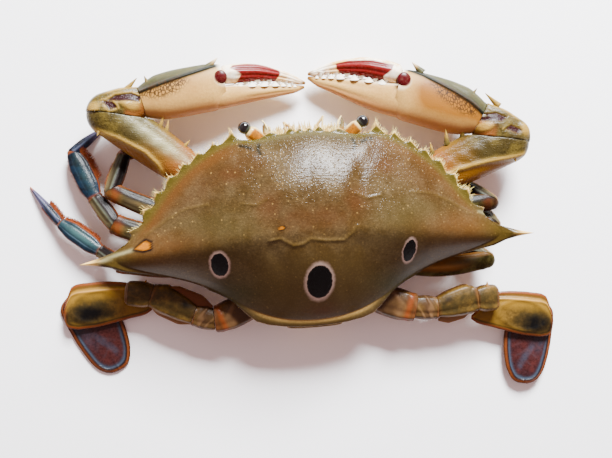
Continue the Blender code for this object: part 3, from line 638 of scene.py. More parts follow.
class ShellSettings(bpy.types.PropertyGroup):
    """Sizes and colours of the back shell."""

    relief: strength("Relief", "Depth of the furrows and swellings", 0, 2)
    columns: IntProperty(name="Columns", description="Points between two corners of the shell's edge",
        default=6, min=2, max=8)
    olive: colour("Olive", "Ground colour of the back", "443621")
    umber: colour("Umber", "Darker clouds of the back", "34250F")
    rust: colour("Rust", "Warm areas of the front half", "402410")
    orange: colour("Orange", "Band inside the side teeth", "482C10")
    shade: colour("Stern shade", "Darker back behind the wavy ridge", "3E2F15")
    spine: colour("Side spine", "Olive of the long side spines", "362A0A")
    brow: colour("Brow", "Olive ground along the brow and on the side swellings", "342B12")
    teeth: colour("Teeth", "Side teeth", "40370F")
    cream: colour("Cream", "Tips of teeth and stern rim", "D4AB61")
    flank: colour("Flank", "Band under the stern edge", "3A2712")
    # Teal is a painted reflection: a green tint put near the stern corners.
    teal: colour("Teal", "Green tint near the stern corners", "2A2A15")
    core: colour("Spot", "Dark core of the spots", "050505")
    ring: colour("Ring", "Pale ring of the spots", "9A8276")
    ridge: colour("Ridge", "Wavy granular ridges", "4A3A14")
    wound: colour("Wound", "Bare orange patch at a side spine", "8A5004")
    belly: colour("Underside", "Underside of the shell", "896D36")


def full_edge():
    """The whole toothed edge as an array, starting at the brow and going round by the crab's left."""
    return np.array(EDGE[:-1] + [(-x, y, z) for x, y, z in reversed(EDGE[1:])], float)


def smooth_loop(table, passes):
    """A loop with its teeth worn down."""
    for _ in range(passes):
        table = 0.5 * table + 0.25 * (np.roll(table, 1, axis=0) + np.roll(table, -1, axis=0))
    return table


def refine(loop, count):
    """A loop with more points on each of its straight stretches."""
    share = (np.arange(count) / count)[None, :, None]
    return (loop[:, None] * (1 - share) + np.roll(loop, -1, axis=0)[:, None] * share).reshape(-1,
        loop.shape[1])


def dome_height(share, rim):
    """Height of the back at that share of the way out to the rim, as arrays."""
    x, y, z = rim[:, 0], rim[:, 1], rim[:, 2]
    reach = np.hypot(x, y)
    headward = np.maximum(0.0, -y / reach) ** 2
    power = 1.8 + 0.5 * headward
    blunt = 1.0 - 0.18 * headward
    return z + (DOME - z) * np.maximum(1 - share**power, 0) ** blunt


def underside_height(share, rim):
    """Height of the shell's underside at that share of the way out to the rim, as arrays."""
    x, y, z = rim[:, 0], rim[:, 1], rim[:, 2]
    headward = np.maximum(0.0, -y / np.hypot(x, y)) ** 4
    near_mouth = np.clip((-14.0 - y * share) / 2.5, 0, 1)
    shelf = SHELF + (MOUTH_ROOF - SHELF) * near_mouth * headward
    climb = min(1.0, (1 - share) / 0.44)
    steep = 1.0 - 0.4 * headward
    return z - (z - shelf) * math.sin(climb * math.pi / 2) ** steep


WAVY_RIDGE = [(13.5, 3.0), (10.5, 2.6), (6.6, 5.0), (3.6, 4.6), (1.4, 3.2), (-3.0, 4.0), (-8.7, 4.2),
    (-11.5, 2.2), (-13.0, 0.2)]
FURROWS = [
    [(15.5, -20.0), (15.0, -12.0), (13.0, -5.0), (12.4, 1.0), (13.5, 6.0)],
    [(13.0, 6.0), (9.5, 12.0), (9.0, 19.0), (11.0, 25.0)],
    [(21.5, -24.5), (18.0, -19.0), (15.0, -14.0)],
]
SIDE_RIDGES = [[(31.5, -9.2), (38.0, -8.4), (44.0, -5.6), (51.0, -1.2)],
    [(13.5, -9.6), (17.0, -8.0), (21.0, -8.6)]]


def mirrored(line):
    return [(-x, y) for x, y in line]


def back_relief(points):
    """Swellings and furrows of the back, in millimetres."""
    x, y = np.abs(points[..., 0]), points[..., 1]
    grow = 0.55 * bell(x, 7, 8) * bell(y, -12, 9)  # swellings beside the middle
    grow += 0.6 * bell(x, 24, 8) * bell(y, -1, 7)
    grow += 0.4 * bell(x, 0, 7) * bell(y, 13, 7)
    grow += 0.35 * bell(x, 30, 9) * bell(y, 11, 6)
    for line in FURROWS:
        for way in (line, mirrored(line)):
            grow -= 0.2 * stroke(points, way, 2.2)
    for line in SIDE_RIDGES:
        for way in (line, mirrored(line)):
            grow += 0.22 * stroke(points, way, 0.5)
    grow += 0.3 * stroke(points, WAVY_RIDGE, 0.55)
    return grow


def shell_forms(settings):
    """The back shell as one closed tube of rings, from the middle of its underside to the top."""
    coarse = full_edge()
    edge = refine(coarse, settings.columns)
    rim = refine(smooth_loop(coarse, 10), settings.columns)
    rim = smooth_loop(rim, 12)
    rim[:, :2] *= 0.985
    calm = smooth_loop(rim, 700)
    rings = []  # each with its share of the way out to the rim, and its level: -1 below, 1 above
    for share in np.concatenate((np.linspace(0.04, 0.55, 8), np.linspace(0.6, 0.97, 14))):
        rings.append((np.stack((rim[:, 0] * share, rim[:, 1] * share, underside_height(share, rim)), -1),
            share, -1.0))
    reach = np.hypot(edge[:, 0] - rim[:, 0], edge[:, 1] - rim[:, 1])
    for turn in np.linspace(-75, 75, 11):
        a = math.radians(turn)
        share, rise = math.cos(a), math.sin(a)
        ring = rim + (edge - rim) * share
        low = 0.35 + 0.1 * reach
        ring[:, 2] += rise * low * (1.1 if rise > 0 else 0.9)
        rings.append((ring, 1.0 + 0.1 * share, rise))
    for share in np.concatenate((np.linspace(0.985, 0.86, 14), np.linspace(0.85, 0.02, 70))):
        pointed = ramp(share, 0.3, 0.97)  # the level lines lose the corners of the side spines inwards
        loop = rim * pointed + calm * (1 - pointed)
        ring = np.stack((loop[:, 0] * share, loop[:, 1] * share, dome_height(share, loop)), -1)
        fade = ramp(share, 1.0, 0.9)
        ring[:, 2] += back_relief(ring) * fade * settings.relief
        rings.append((ring, share, 1.0))
    points = np.stack([ring for ring, _, _ in rings])
    ones = np.ones(points.shape[:2])
    out = np.array([share for _, share, _ in rings])[:, None] * ones
    level = np.array([rise for _, _, rise in rings])[:, None] * ones
    spread = reach[None] * ones
    x, y = points[..., 0], points[..., 1]
    ax = np.abs(x)
    top = ramp(level, -0.5, 0.2)
    tooth = ramp(out, 0.955, 1.0) * ramp(spread, 0.15, 0.8)
    angle = np.degrees(np.arctan2(-y, ax))  # 90 at the brow, 0 at the side, negative astern
    front = ramp(angle, -2, 10)
    depth = (1 - out) * np.hypot(rim[:, 0], rim[:, 1])[None]
    masks = {
        "rust": top * most(
            0.3 * bell(depth, 9, 5) * ramp(angle, 0, 20) * ramp(angle, 66, 48),
            0.6 * bell(ax, 13, 4) * bell(y, -7, 5), 0.5 * bell(ax, 4, 9) * bell(y, -3, 4),
            0.35 * bell(ax, 40, 9) * bell(y, 3, 5), 0.6 * bell(x, -2, 5) * bell(y, 26, 3),
            0.6 * bell(ax, 24, 5) * bell(y, -18, 3),
        ),
        "orange": top * most(
            bell(depth, 3.0, 2.6) * ramp(angle, -6, 6) * ramp(angle, 60, 40)
            * (0.45 + 0.45 * ramp(x, -20, 20)),
            0.5 * patch(points, 50, 3.5, 8, 5, 10, 0.8),
            0.45 * patch(points, -50, 3.5, 9, 5, -10, 0.8),
        ),
        "brow": top * most(
            0.8 * bell(depth, 0.5, 3.2) * ramp(angle, 35, 60),
            0.6 * bell(ax, 30, 14) * bell(y, -2, 7),
        ),
        "shade": most(0.8 * ramp(y, 3, 12) * ramp(ax, 30, 10), 0.35 * ramp(y, 1, 9)) * top,
        # Painted reflection: a green tint near the stern corners.
        "teal": 0.7 * bell(ax, 26, 9) * bell(y, 19, 5) * top,
        "teeth": most(tooth, ramp(out, 0.93, 0.985) * 0.75) * front * top,
        "flank": ramp(level, 0.9, 0.2) * ramp(angle, 4, -6) * ramp(level, -0.99, -0.9),
        "belly": ramp(level, -0.2, -0.8),
        "cream": most(
            ramp(ax, 64.5, 68.5), 0.8 * bell(depth, 0.1, 0.5) * ramp(ax, 24, 14) * ramp(y, 20, 26) * top,
            ramp(out, 1.055, 1.095) * ramp(spread, 1.0, 1.8) * front * 0.75,
            0.7 * ramp(level, 0.75, 0.3) * ramp(angle, 3, 20),
            0.8 * bell(level, 0.02, 0.16) * ramp(angle, -20, -40),
        ),
        "ridge": most(
            0.2 * stroke(points, WAVY_RIDGE, 0.7) * top,
            *[0.2 * stroke(points, way, 0.5) * top for line in SIDE_RIDGES for way in (line, mirrored(line))],
        ),
        "wound": top * most(
            area(points, [(54.2, 2.7), (51.0, 0.5), (49.6, 1.2), (49.7, 2.9), (51.4, 3.3)], 0.3),
            0.9 * patch(points, 10.0, -0.6, 0.8, 0.45, 20),
        ),
        "wound_edge": top * most(
            area(points, [(55.4, 3.2), (51.0, -0.4), (48.8, 0.5), (48.8, 3.5), (51.6, 4.1)], 0.35),
            0.8 * patch(points, 9.7, -0.5, 1.3, 0.7, 20),
        ),
        # Painted highlight: a pale streak along the crest of each side spine.
        "silver": top * most(
            0.8 * stroke(points, [(55.0, 3.0), (61.0, 4.4), (69.0, 8.0)], 0.55),
            0.7 * stroke(points, [(-54.0, -1.8), (-60.5, 1.4)], 0.5),
        ),
        "spine": 0.8 * ramp(ax, 50, 62) * ramp(ax, 71, 65) * top,
        "dark": top * most(*[
            0.85 * stroke(points, way, 0.55)
            for line in (
                [(20.5, -26.6), (18.6, -26.2), (17.2, -25.6)], [(14.6, -26.6), (15.0, -25.0), (14.4, -23.4)],
            )
            for way in (line, mirrored(line))
        ]),
    }
    return [{"points": points[::-1], "masks": {m: v[::-1] for m, v in masks.items()}}]


def shell_extras(settings):
    """Spots, smoothness astern and granules ahead, for the back shell's finish."""

    def add(tree, position, shade, gloss, bump):
        split = add_node(tree, "ShaderNodeSeparateXYZ", position)
        ahead = range_of(tree, split.outputs[1], 6.0, -10.0)
        specks = add_node(tree, "ShaderNodeTexVoronoi", Scale=0.42, Vector=position)
        pale = range_of(tree, specks.outputs["Distance"], 0.16, 0.06)
        pale = times(tree, pale, sum_of(tree, "MULTIPLY_ADD", ahead, 0.12, 0.05))
        shade = blend_of(tree, pale, shade, settings.cream)
        group = shared_group("ringed_spot", make_spot_group)
        for centre, turn, half, ring in (
            ((29.35, 9.6, 0), -0.12, (2.6, 3.5, 100), 1.22),
            ((-29.3, 9.4, 0), 0.16, (1.95, 3.4, 100), 1.22),
            ((-0.6, 16.9, 0), 0.05, (3.95, 5.2, 100), 1.18),
        ):
            spot = place_group(
                tree, group, Position=position, Centre=centre, Turn=turn, Half_Size=half, Ring=ring
            )
            shade = blend_of(tree, spot["Ring"], shade, settings.ring)
            shade = blend_of(tree, spot["Core"], shade, settings.core)
        amount = times(tree, sum_of(tree, "MULTIPLY_ADD", ahead, 0.85, 0.15), bump)
        return shade, gloss, amount

    return add


class CRAB_OT_shell(bpy.types.Operator):
    """Back shell with its side teeth, spines and dark ringed spots"""

    bl_idname = "crab.shell"
    bl_label = "Back shell"

    def execute(self, context):
        s = context.scene.crab_shell
        material = finish(
            "shell_back", s.olive, s.umber,
            # The teal layer is a painted reflection: a green tint near the stern corners.
            [("shade", s.shade, 0.5, 0.3), ("brow", s.brow, 0.5, 0.3), ("teal", s.teal, 0.3, 0.3),
             ("rust", s.rust, 0.5, 0.3), ("orange", s.orange, 0.4, 0.5),
             ("ridge", s.ridge, 0.9, 0.9), ("teeth", s.teeth, 0.3, 0.8), ("spine", s.spine, 0.3, 0.8),
             # The first layer on the next line is a painted highlight along the side spines.
             ("silver", tint("7C7452"), 0.4, 0.8), ("belly", s.belly, 0.2, 0.4),
             ("flank", s.flank, 0.3, 0.5), ("cream", s.cream, 0.3, 1.0),
             ("dark", tint("060A05"), 0.2, 1.0),
             ("wound_edge", tint("0A0505"), 0.4, 1.0), ("wound", s.wound, 0.3, 1.5)],
            grain=0.7, wrinkles=0.9, bump=0.1, rough=(0.19, 0.27), coat=0.0, extra=shell_extras(s),
            speckle=0.3,
        )
        seat(build("shell_back", shell_forms(s), material), "olive_shell", "carapace")
        return {"FINISHED"}


# Limbs


def fields(form):
    """Points of a limb piece, and how far along it, towards its front edge and up each one lies."""
    return form["points"], form["share"], form["front"], form["rise"]


def towards_tip(low, high, strength=1.0):
    """A mask for a spike, which grows from one share of its length to another."""
    return lambda form: strength * ramp(form["share"], low, high)


def area(points, corners, soft=0.35):
    """A soft-edged patch inside a polygon of (x, y) corners, seen from above."""
    loop = list(corners) + [corners[0]]
    far = np.abs(line_way(points, loop))
    x, y = points[..., 0], points[..., 1]
    inside = np.zeros(x.shape, bool)
    for (x0, y0), (x1, y1) in zip(loop, loop[1:]):
        if y0 != y1:
            crosses = ((y0 > y) != (y1 > y)) & (x < (x1 - x0) * (y - y0) / (y1 - y0) + x0)
            inside ^= crosses
    return ramp(np.where(inside, far, -far), -soft, soft)


def unit(vector):
    vector = np.array(vector, float)
    return vector / np.linalg.norm(vector)


def joint_planes(points, gap=0.06):
    """For each piece of a limb, the planes that part it from its neighbours."""
    ways = [unit(np.subtract(b, a)) for a, b in zip(points, points[1:])]
    planes = [[] for _ in ways]
    for k in range(1, len(ways)):
        turn = unit(ways[k - 1] + ways[k])
        planes[k - 1].append((np.array(points[k]) - turn * gap, turn))
        planes[k].append((np.array(points[k]) + turn * gap, -turn))
    return planes


def press(form, planes):
    """Flattens what reaches past a plane onto it, so that two pieces of a limb meet face to face."""
    points = form["points"]
    for middle, away in planes:
        over = np.maximum((points - middle) @ away, 0)
        points -= over[..., None] * away
    return form


PATCH = 0.003  # width of a bristle on its bake map
TALLEST = 32  # height that fills the bake map from bottom to top
BRISTLE_CLEAR = 0.00002  # lowest point of a bristle above the floor, in metres


def make_bristle_tree():
    """Geometry Nodes tree that sets a fine tapered bristle on each point, aimed by its attribute."""
    tree = bpy.data.node_groups.new("bristle_fringe", "GeometryNodeTree")
    tree.interface.new_socket("Geometry", in_out="INPUT", socket_type="NodeSocketGeometry")
    for label, kind, value in (
        ("Thickness", "Float", 0.0001), ("Roughness", "Float", 0.3), ("Seed", "Int", 1),
        ("Material", "Material", None),
    ):
        socket = tree.interface.new_socket(label, in_out="INPUT", socket_type="NodeSocket" + kind)
        if value is not None:
            socket.default_value = value
    tree.interface.new_socket("Geometry", in_out="OUTPUT", socket_type="NodeSocketGeometry")
    given = tree.nodes.new("NodeGroupInput").outputs
    result = tree.nodes.new("NodeGroupOutput").inputs
    aim = add_node(tree, "GeometryNodeInputNamedAttribute", Name="aim")
    aim.data_type = "FLOAT_VECTOR"
    jitter = tree.nodes.new("FunctionNodeRandomValue")
    jitter.data_type = "FLOAT_VECTOR"
    jitter.inputs[0].default_value = (-1, -1, -1)
    jitter.inputs[1].default_value = (1, 1, 1)
    plug(tree, jitter.inputs["Seed"], given["Seed"])
    length = add_node(tree, "ShaderNodeVectorMath", aim.outputs["Attribute"],
        operation="LENGTH").outputs["Value"]
    amount = add_node(tree, "ShaderNodeVectorMath", jitter.outputs[0], operation="SCALE")
    plug(tree, amount.inputs["Scale"], times(tree, length, given["Roughness"]))
    way = add_node(tree, "ShaderNodeVectorMath", aim.outputs["Attribute"], amount.outputs[0],
        operation="ADD")
    turn = add_node(tree, "FunctionNodeAlignRotationToVector", Vector=way.outputs[0])
    turn.axis = "Z"
    vary = tree.nodes.new("FunctionNodeRandomValue")
    vary.data_type = "FLOAT"
    vary.inputs[2].default_value = 0.6
    vary.inputs[3].default_value = 1.0
    plug(tree, vary.inputs["Seed"], sum_of(tree, "ADD", given["Seed"], 7))
    tall = times(tree, length, vary.outputs[1])
    cone = tree.nodes.new("GeometryNodeMeshCone")
    for label, value in (
        ("Vertices", 4), ("Side Segments", 3), ("Radius Top", 0.12), ("Radius Bottom", 1.0),
        ("Depth", 1.0),
    ):
        cone.inputs[label].default_value = value
    scale = add_node(tree, "ShaderNodeCombineXYZ", given["Thickness"], given["Thickness"],
        tall).outputs[0]
    points = add_node(tree, "GeometryNodeMeshToPoints", Mesh=given["Geometry"]).outputs[0]
    copies = add_node(
        tree, "GeometryNodeInstanceOnPoints",
        Points=points, Instance=cone.outputs["Mesh"], Rotation=turn.outputs[0], Scale=scale,
    )
    real = add_node(tree, "GeometryNodeRealizeInstances", copies.outputs[0])
    paint = add_node(tree, "GeometryNodeSetMaterial", Geometry=real.outputs[0],
        Material=given["Material"])
    plug(tree, result[0], paint.outputs[0])
    return tree


def add_bake_map(mesh, places, roots):
    """A map where each bristle is a small patch at its root's place round the body and up its height."""
    count = len(places) // len(roots)
    middles = np.repeat(np.array(roots), count, axis=0)
    along = np.linalg.norm(places - middles, axis=1).reshape(-1, count)
    along = (along / along.max(1, keepdims=True)).ravel()
    across = np.tile(np.arange(count) / count, len(roots))
    around = (np.arctan2(middles[:, 1], middles[:, 0]) / (2 * math.pi) + 0.5) * 0.99
    corners = np.zeros(len(mesh.loops), np.int32)
    mesh.loops.foreach_get("vertex_index", corners)
    spots = np.stack([around, np.clip(middles[:, 2] / TALLEST, 0, 0.99)],
        1) + PATCH * np.stack([across, along], 1)
    mesh.uv_layers.new(name="OFBake").data.foreach_set("uv", spots[corners].astype(np.float32).ravel())


def bristles(name, roots, aims, thickness, roughness, seed, material):
    """A fringe of fine solid bristles from root points and the vectors that they point along."""
    mesh = bpy.data.meshes.new(name + "_roots")
    mesh.from_pydata((np.array(roots) * MM).tolist(), [], [])
    attribute = mesh.attributes.new("aim", "FLOAT_VECTOR", "POINT")
    attribute.data.foreach_set("vector", (np.array(aims) * MM).astype(np.float32).ravel())
    seedbed = show(name + "_roots", mesh)
    tree = bpy.data.node_groups.get("bristle_fringe") or make_bristle_tree()
    grow = seedbed.modifiers.new("Grow", "NODES")
    grow.node_group = tree
    for label, value in (
        ("Thickness", thickness * MM), ("Roughness", roughness), ("Seed", seed), ("Material", material),
    ):
        grow[tree.interface.items_tree[label].identifier] = value
    plain = bpy.data.meshes.new_from_object(seedbed.evaluated_get(bpy.context.evaluated_depsgraph_get()))
    bpy.data.objects.remove(seedbed)
    plain.name = name
    low = np.zeros(len(plain.vertices) * 3, np.float32)
    plain.vertices.foreach_get("co", low)
    low = low.reshape(-1, 3)
    low[:, 2] = np.maximum(low[:, 2], BRISTLE_CLEAR)
    plain.vertices.foreach_set("co", low.ravel())
    add_bake_map(plain, low / MM, roots)
    return show(name, plain)


# Claws


class ClawSettings(bpy.types.PropertyGroup):
    """Colours and tooth size of the claws."""

    tooth: strength("Tooth size", "Size of the finger teeth")
    cream: colour("Cream", "Inner face of the hand", "AC8648")
    orange: colour("Orange", "Warm area of the hand", "7A4C10")
    white: colour("White", "Teeth and finger roots", "EDE4D2")
    red: colour("Wine red", "Band on the moving finger", "64100F")
    dark_red: colour("Dark red", "Knuckle spot and soft joints", "3C0508")
    olive: colour("Olive", "Upper side of the arm and wrist", "4E411A")
    moss: colour("Moss", "Darker clouds on the arm", "30270F")
    gold: colour("Gold", "Rear face of the arm", "70480F")
    ridge: colour("Ridge", "Pale ridge lines and tips", "9A7A34")
    band: colour("Band", "Grey-green band along the hand", "3E3C22")
    keel: colour("Keel", "Dark line along the hand", "14150A")
    net: colour("Net", "Brown net on the hand", "2C1A06")


CLAW_MARKS = {
    "claw_l": {
        "arm_ridge": [(66.5, -35.5), (64, -34.5), (57, -31.5), (49.5, -27), (46, -23), (44.5, -19)],
        "keel": [(51.5, -46.4), (49.5, -47), (42, -49.5), (35, -51.6), (29, -53.5), (25.5, -54.6)],
        "net": [(51, -47.2), (49.8, -43.8), (44, -43.4), (38, -45.2), (34.5, -48.6), (38, -50.2),
            (45, -48.6)],
        "red": [(20.5, -53.5), (16.6, -53.9), (13.1, -53.9), (9.3, -53.0), (5.6, -51.5), (5.3, -50.4),
            (7.1, -48.0), (8.5, -46.9),
                (9.7, -48.1), (10.9, -48.7), (12.9, -47.6), (14.8, -48.6), (16.8, -47.2), (18.7, -47.5),
                (19.9, -47.7),
                (18.1, -50.4), (19.6, -51.5), (21.5, -52.5)],
        "knuckle": (24.7, -49.5, 2.1),
        "peaks": [(18.6, -47.8), (14.8, -48.7), (10.9, -48.9), (7.2, -48.5), (4.6, -48.1), (2.6, -47.9),
            (0.8, -47.6)],
        "membranes": [[(60.5, -43.5), (57.5, -45.2), (52.5, -45.6), (49.5, -44.2), (50.5, -42.8),
            (55.5, -43.2)],
                      [(61.5, -43.6), (58.5, -43.3), (57, -41.2), (59.5, -40.8)]],
        "spines": [(45.4, -33.2, 43.2, -38.4), (43.4, -31.6, 41.8, -36.8), (38.8, -27.0, 35.6, -30.2)],
        "inner": (53.0, -42.6, 46.6, -45.2), "outer": (54.8, -46.4, 50.6, -50.4),
        "near": (47.4, -48.4, 48.4, -51.0), "far": (29.0, -52.6, 25.2, -56.0),
        "lobes": [(53.0, -41.8, 2.6, 1.5, -20), (64.6, -41.4, 2.2, 1.8, 40)],
    },
    "claw_r": {
        "arm_ridge": [(-72, -19.2), (-69, -18.5), (-58.5, -17.5), (-49, -15.6), (-44, -13.5)],
        "keel": [(-59.8, -33.2), (-58, -35.2), (-55.2, -37.9), (-50.5, -41.4), (-45.7, -44.6),
            (-41, -47.7), (-36.2, -50.2)],
        "net": [(-42.2, -43.6), (-44.5, -39.6), (-48.4, -35.9), (-52.2, -33.1), (-56.1, -32.4),
            (-57.4, -35.2), (-55.2, -37.4),
                (-50.5, -41.0), (-46.0, -44.0)],
        "red": [(-12.9, -52.9), (-17.2, -53.5), (-25.0, -53.0), (-31.4, -51.0), (-30.7, -49.3),
            (-27.9, -47.5), (-28.4, -45.4),
                (-25.2, -46.3), (-23.3, -47.6), (-21.3, -47.1), (-19.5, -48.7), (-18.2, -48.8),
                (-16.2, -48.1), (-14.3, -49.6),
                (-13.0, -51.1)],
        "knuckle": (-34.0, -45.7, 2.3),
        "peaks": [(-27.6, -46.6), (-23.4, -47.8), (-18.8, -49.0), (-14.4, -49.9), (-11.4, -50.0),
            (-9.0, -50.1), (-6.8, -50.2)],
        "membranes": [[(-55.5, -31.0), (-59.5, -30.6), (-64.5, -30.0), (-66.5, -31.5), (-63, -33.2),
            (-58.5, -33.0)],
                      [(-65.0, -27.6), (-69.5, -25.6), (-71.0, -27.2), (-67.5, -29.0)]],
        "spines": [(-47.0, -23.8, -46.6, -29.0), (-52.0, -25.0, -52.8, -30.4),
            (-42.0, -20.6, -41.2, -25.0)],
        "inner": (-60.0, -32.0, -54.4, -34.0), "outer": (-64.6, -35.4, -60.2, -39.8),
        "near": (-55.6, -39.0, -57.8, -41.6), "far": (-40.6, -47.8, -37.4, -51.6),
        "lobes": [(-58.4, -28.6, 3.0, 1.4, 10), (-72.4, -27.4, 1.8, 2.2, 20)],
    },
}


def claw_forms(tag):
    """The forms of one claw arm, by piece."""
    limb, side = f"claw_{tag}", SIDES[tag]
    folded, marks, breadth, joints = -side, CLAW_MARKS[limb], BREADTHS[limb], JOINTS[limb]
    planes = joint_planes(joints)
    hand_way = unit(np.subtract(joints[4], joints[3]))
    hinge = np.array(joints[4]) + hand_way * 0.6
    planes[3].append((hinge - hand_way * 0.06, hand_way))
    result = {}

    base = limb_form(CLAW_BASE, joints[0], joints[1], side, (1.5, 3.5), breadth, sides=48, rows=40)
    press(base, planes[0])
    base["masks"]["gold"] = 0.8
    result["base"] = [base]

    arm = limb_form(
        CLAW_ARM, joints[1], joints[2], side, (3, 6.6), breadth, sides=96, rows=120, power=2.25,
        relief=lambda t, f, r, a: 0.18 * bell_at(a, 40, 12) - 0.2 * bell_at(a, 62, 10),
    )
    p, t, f, u = fields(arm)
    top = ramp(u, 0.0, 0.3)
    ridge = marks["arm_ridge"]
    crest = stroke(p, ridge, 0.8) * top
    behind = ramp(line_way(p, ridge) * -side, 0.2, 1.4) * top
    ripples = np.sin(t * 46 + 2 * np.sin(f * 3)) * bell(f, 0.1, 0.35) * bell(t, 0.6, 0.25) * top
    p[..., 2] += 0.5 * crest - 0.35 * behind + 0.12 * ripples
    press(arm, planes[1])
    arm["masks"] = {
        "gold": most(behind, 0.6 * ramp(t, 0.75, 0.4), ramp(u, 0.1, -0.5) * 0.85),
        "ridge": most(0.85 * crest, 0.7 * bell(t, 0.03, 0.04)),
        "pink": 0.7 * ramp(t, 0.5, 0.34) * top,
        # Painted highlight: a pale sheen on top of the left arm only; the right arm gets none.
        "gloss": (0.8 if side > 0 else 0.0) * bell(f, 0.35, 0.3) * top * bell(t, 0.55, 0.3),
        "dark": (0.7 if side > 0 else 1.6) * bell(line_way(p, ridge) * side, 3.0, 2.6) * top
        * ramp(t, 0.1, 0.3) * ramp(t, 0.95, 0.7),
    }
    spines = [thorn(mark, 11.4, 12.6, 1.15, ridge=towards_tip(0.2, 0.8)) for mark in marks["spines"]]
    end = np.array(joints[2])
    away = unit((end - joints[1]) * (1, 1, 0))
    rear = np.array((away[1], -away[0], 0)) * -side
    root, tip = end + rear * 5.2 - away * 1.0 + UP * 2.4, end + rear * 7.6 - away * 1.6 + UP * 2.8
    result["arm"] = [arm, *spines, spike_form(root, tip, 0.9, masks={"ridge": 0.8})]

    wrist = limb_form(
        CLAW_WRIST, joints[2], joints[3], folded, (6.8, 3), breadth, sides=96, rows=70, power=2.3,
        relief=lambda t, f, r, a: 0.25 * bell_at(a, 35, 10) - 0.25 * bell_at(a, 58, 10)
        + 0.2 * bell_at(a, 85, 9),
    )
    p, t, f, u = fields(wrist)
    top = ramp(u, 0.0, 0.3)
    soft = most(*[area(p, m, 0.3) for m in marks["membranes"]]) * top
    p[..., 2] -= 0.45 * soft
    for lobe in marks["lobes"]:
        p[..., 2] += 0.5 * patch(p, *lobe, 0.5) * top
    press(wrist, planes[2])
    wrist["masks"] = {
        "dark_red": soft,
        # Painted highlight: pale patches on the raised lobes of the wrist.
        "pale": most(*[0.7 * patch(p, *lobe, 0.4) for lobe in marks["lobes"]]) * top,
        "ridge": top * most(
            0.75 * bell(np.degrees(np.arctan2(u, f)), 35, 6) * ramp(t, 0.0, 0.3),
            *[0.6 * bell(line_way(p, m + m[:1]), 0.45, 0.35) for m in marks["membranes"]],
        ),
        "gold": most(0.8 * ramp(u, 0.1, -0.5), 0.5 * ramp(f, -0.4, -0.9)),
        "pink": 0.8 * ramp(np.linalg.norm(p[..., :2] - np.array(joints[2])[:2], axis=-1), 4.6, 6.6)
        * ramp(f, 0.2, -0.5) * top,
    }
    result["wrist"] = [
        wrist, thorn(marks["inner"], 14.0, 14.4, 1.2, white=towards_tip(0.1, 0.5)),
        thorn(marks["outer"], 13.0, 13.6, 1.2, ridge=0.6),
    ]

    hand = limb_form(
        PALM, joints[3], joints[4], folded, (2.2, 0), breadth, sides=120, rows=120, power=2.35,
        relief=lambda t, f, r, a: -1.3 * ramp(t, 0.84, 1.06) * ramp(f, 0.2, -0.6),
    )
    p, t, f, u = fields(hand)
    top = ramp(u, -0.1, 0.2)
    keel_way = line_way(p, marks["keel"]) + 0.9 * side
    beyond = ramp(keel_way * side, -0.5, 0.1) * top
    p[..., 2] += (0.5 * bell(keel_way, 0, 0.45) + 0.2 * bell(keel_way, 0, 1.4)) * top
    p[..., 2] -= 0.35 * bell(keel_way * side, 1.4, 0.8) * top
    press(hand, planes[3])
    x, y, r = marks["knuckle"]
    knuckle = patch(p, x, y, r * 0.95, r, 0, 0.12) * top
    net = area(p, marks["net"], 1.2) * top
    hand["masks"] = {
        "net": net,
        "orange": most((0.42 if side > 0 else 1.5) * ramp(t, 1.0, 0.6) * bell(f, 0.2, 0.8), 0.6 * net),
        "band": most(beyond, 0.85 * ramp(f, 0.35, 0.8) * ramp(u, 0.35, -0.1)),
        "keel": most(
            1.3 * bell(keel_way * side, -0.1, 0.8) * top,
            stroke(p, [(24.0, -42.5), (23.6, -41.0), (22.3, -40.2)], 0.3) * top,
            0.8 * bell(keel_way * side, 0.6, 1.0) * top * bell(t, 0.15, 0.3),
        ),
        "pink": 0.6 * ramp(f, -0.5, -1.0),
        "dark_red": knuckle,
        "white": (1 - knuckle) * top * most(
            0.5 * patch(p, x - side, y + 0.3, r * 1.3, r * 1.2, 0, 0.3),
            0.8 * ramp(t, 0.95, 1.04) * ramp(f, 0.1, 0.4),
        ),
    }
    fixed_root, fixed_tip, moving_root, moving_tip, curve = FINGERS[limb]
    table = FIXED_FINGER[limb]
    fixed = limb_form(
        table, fixed_root, fixed_tip, folded, (1.5, 0.35), breadth, sides=72, rows=110, power=2.1,
        relief=lambda t, f, r, a: 0.9 * ramp(r, 0.1, 0.7) * ramp(t, 0.42, 0.1) * ramp(f, 0.9, 0.4)
        - 0.22 * bell_at(a, 75, 14) * bell(t, 0.6, 0.3)
        - 0.2 * bell_at(a, 120, 12) * bell(t, 0.6, 0.3),
    )
    p, t, f, u = fields(fixed)
    fixed["masks"] = {
        "pink": 0.6 * ramp(f, -0.2, -0.9),
        "white": 0.6 * ramp(f, 0.5, 0.9),
        "orange": 0.2 * bell(t, 0.3, 0.25),
        "tip": ramp(t, 0.93, 0.995),
    }
    p = hand["points"]
    near = np.hypot(p[..., 0] - x, p[..., 1] - y) < r
    middle = (x, y, float(p[..., 2][near].max()) - 0.65)
    spot = globe(middle, 1.0, (0, -0.2, 1), 40, 24)
    spot["points"] = (spot["points"] - middle) * (r * 0.98, r * 1.05, 0.85) + middle
    spot["masks"] = {"dark_red": 1.0}
    result["knuckle"] = [spot]
    forms, sections = [hand, fixed], np.array(table)
    scale = bpy.context.scene.crab_claws.tooth
    for k, (x, y) in enumerate(marks["peaks"]):
        size = (1.6, 1.75, 1.75, 1.6, 1.2, 1.0, 0.8)[k] * scale
        span = np.clip((x - fixed_root[0]) / (fixed_tip[0] - fixed_root[0]), 0, 1)
        middle = np.array(fixed_root) + (np.array(fixed_tip) - fixed_root) * span
        thick = column(sections, 2, span)
        edge = middle[1] - (column(sections, 1, span) + column(sections, 3, span)) * breadth
        y = max(y, edge - 0.9)
        z, behind = middle[2] + thick * 0.5, x + 1.6 * side
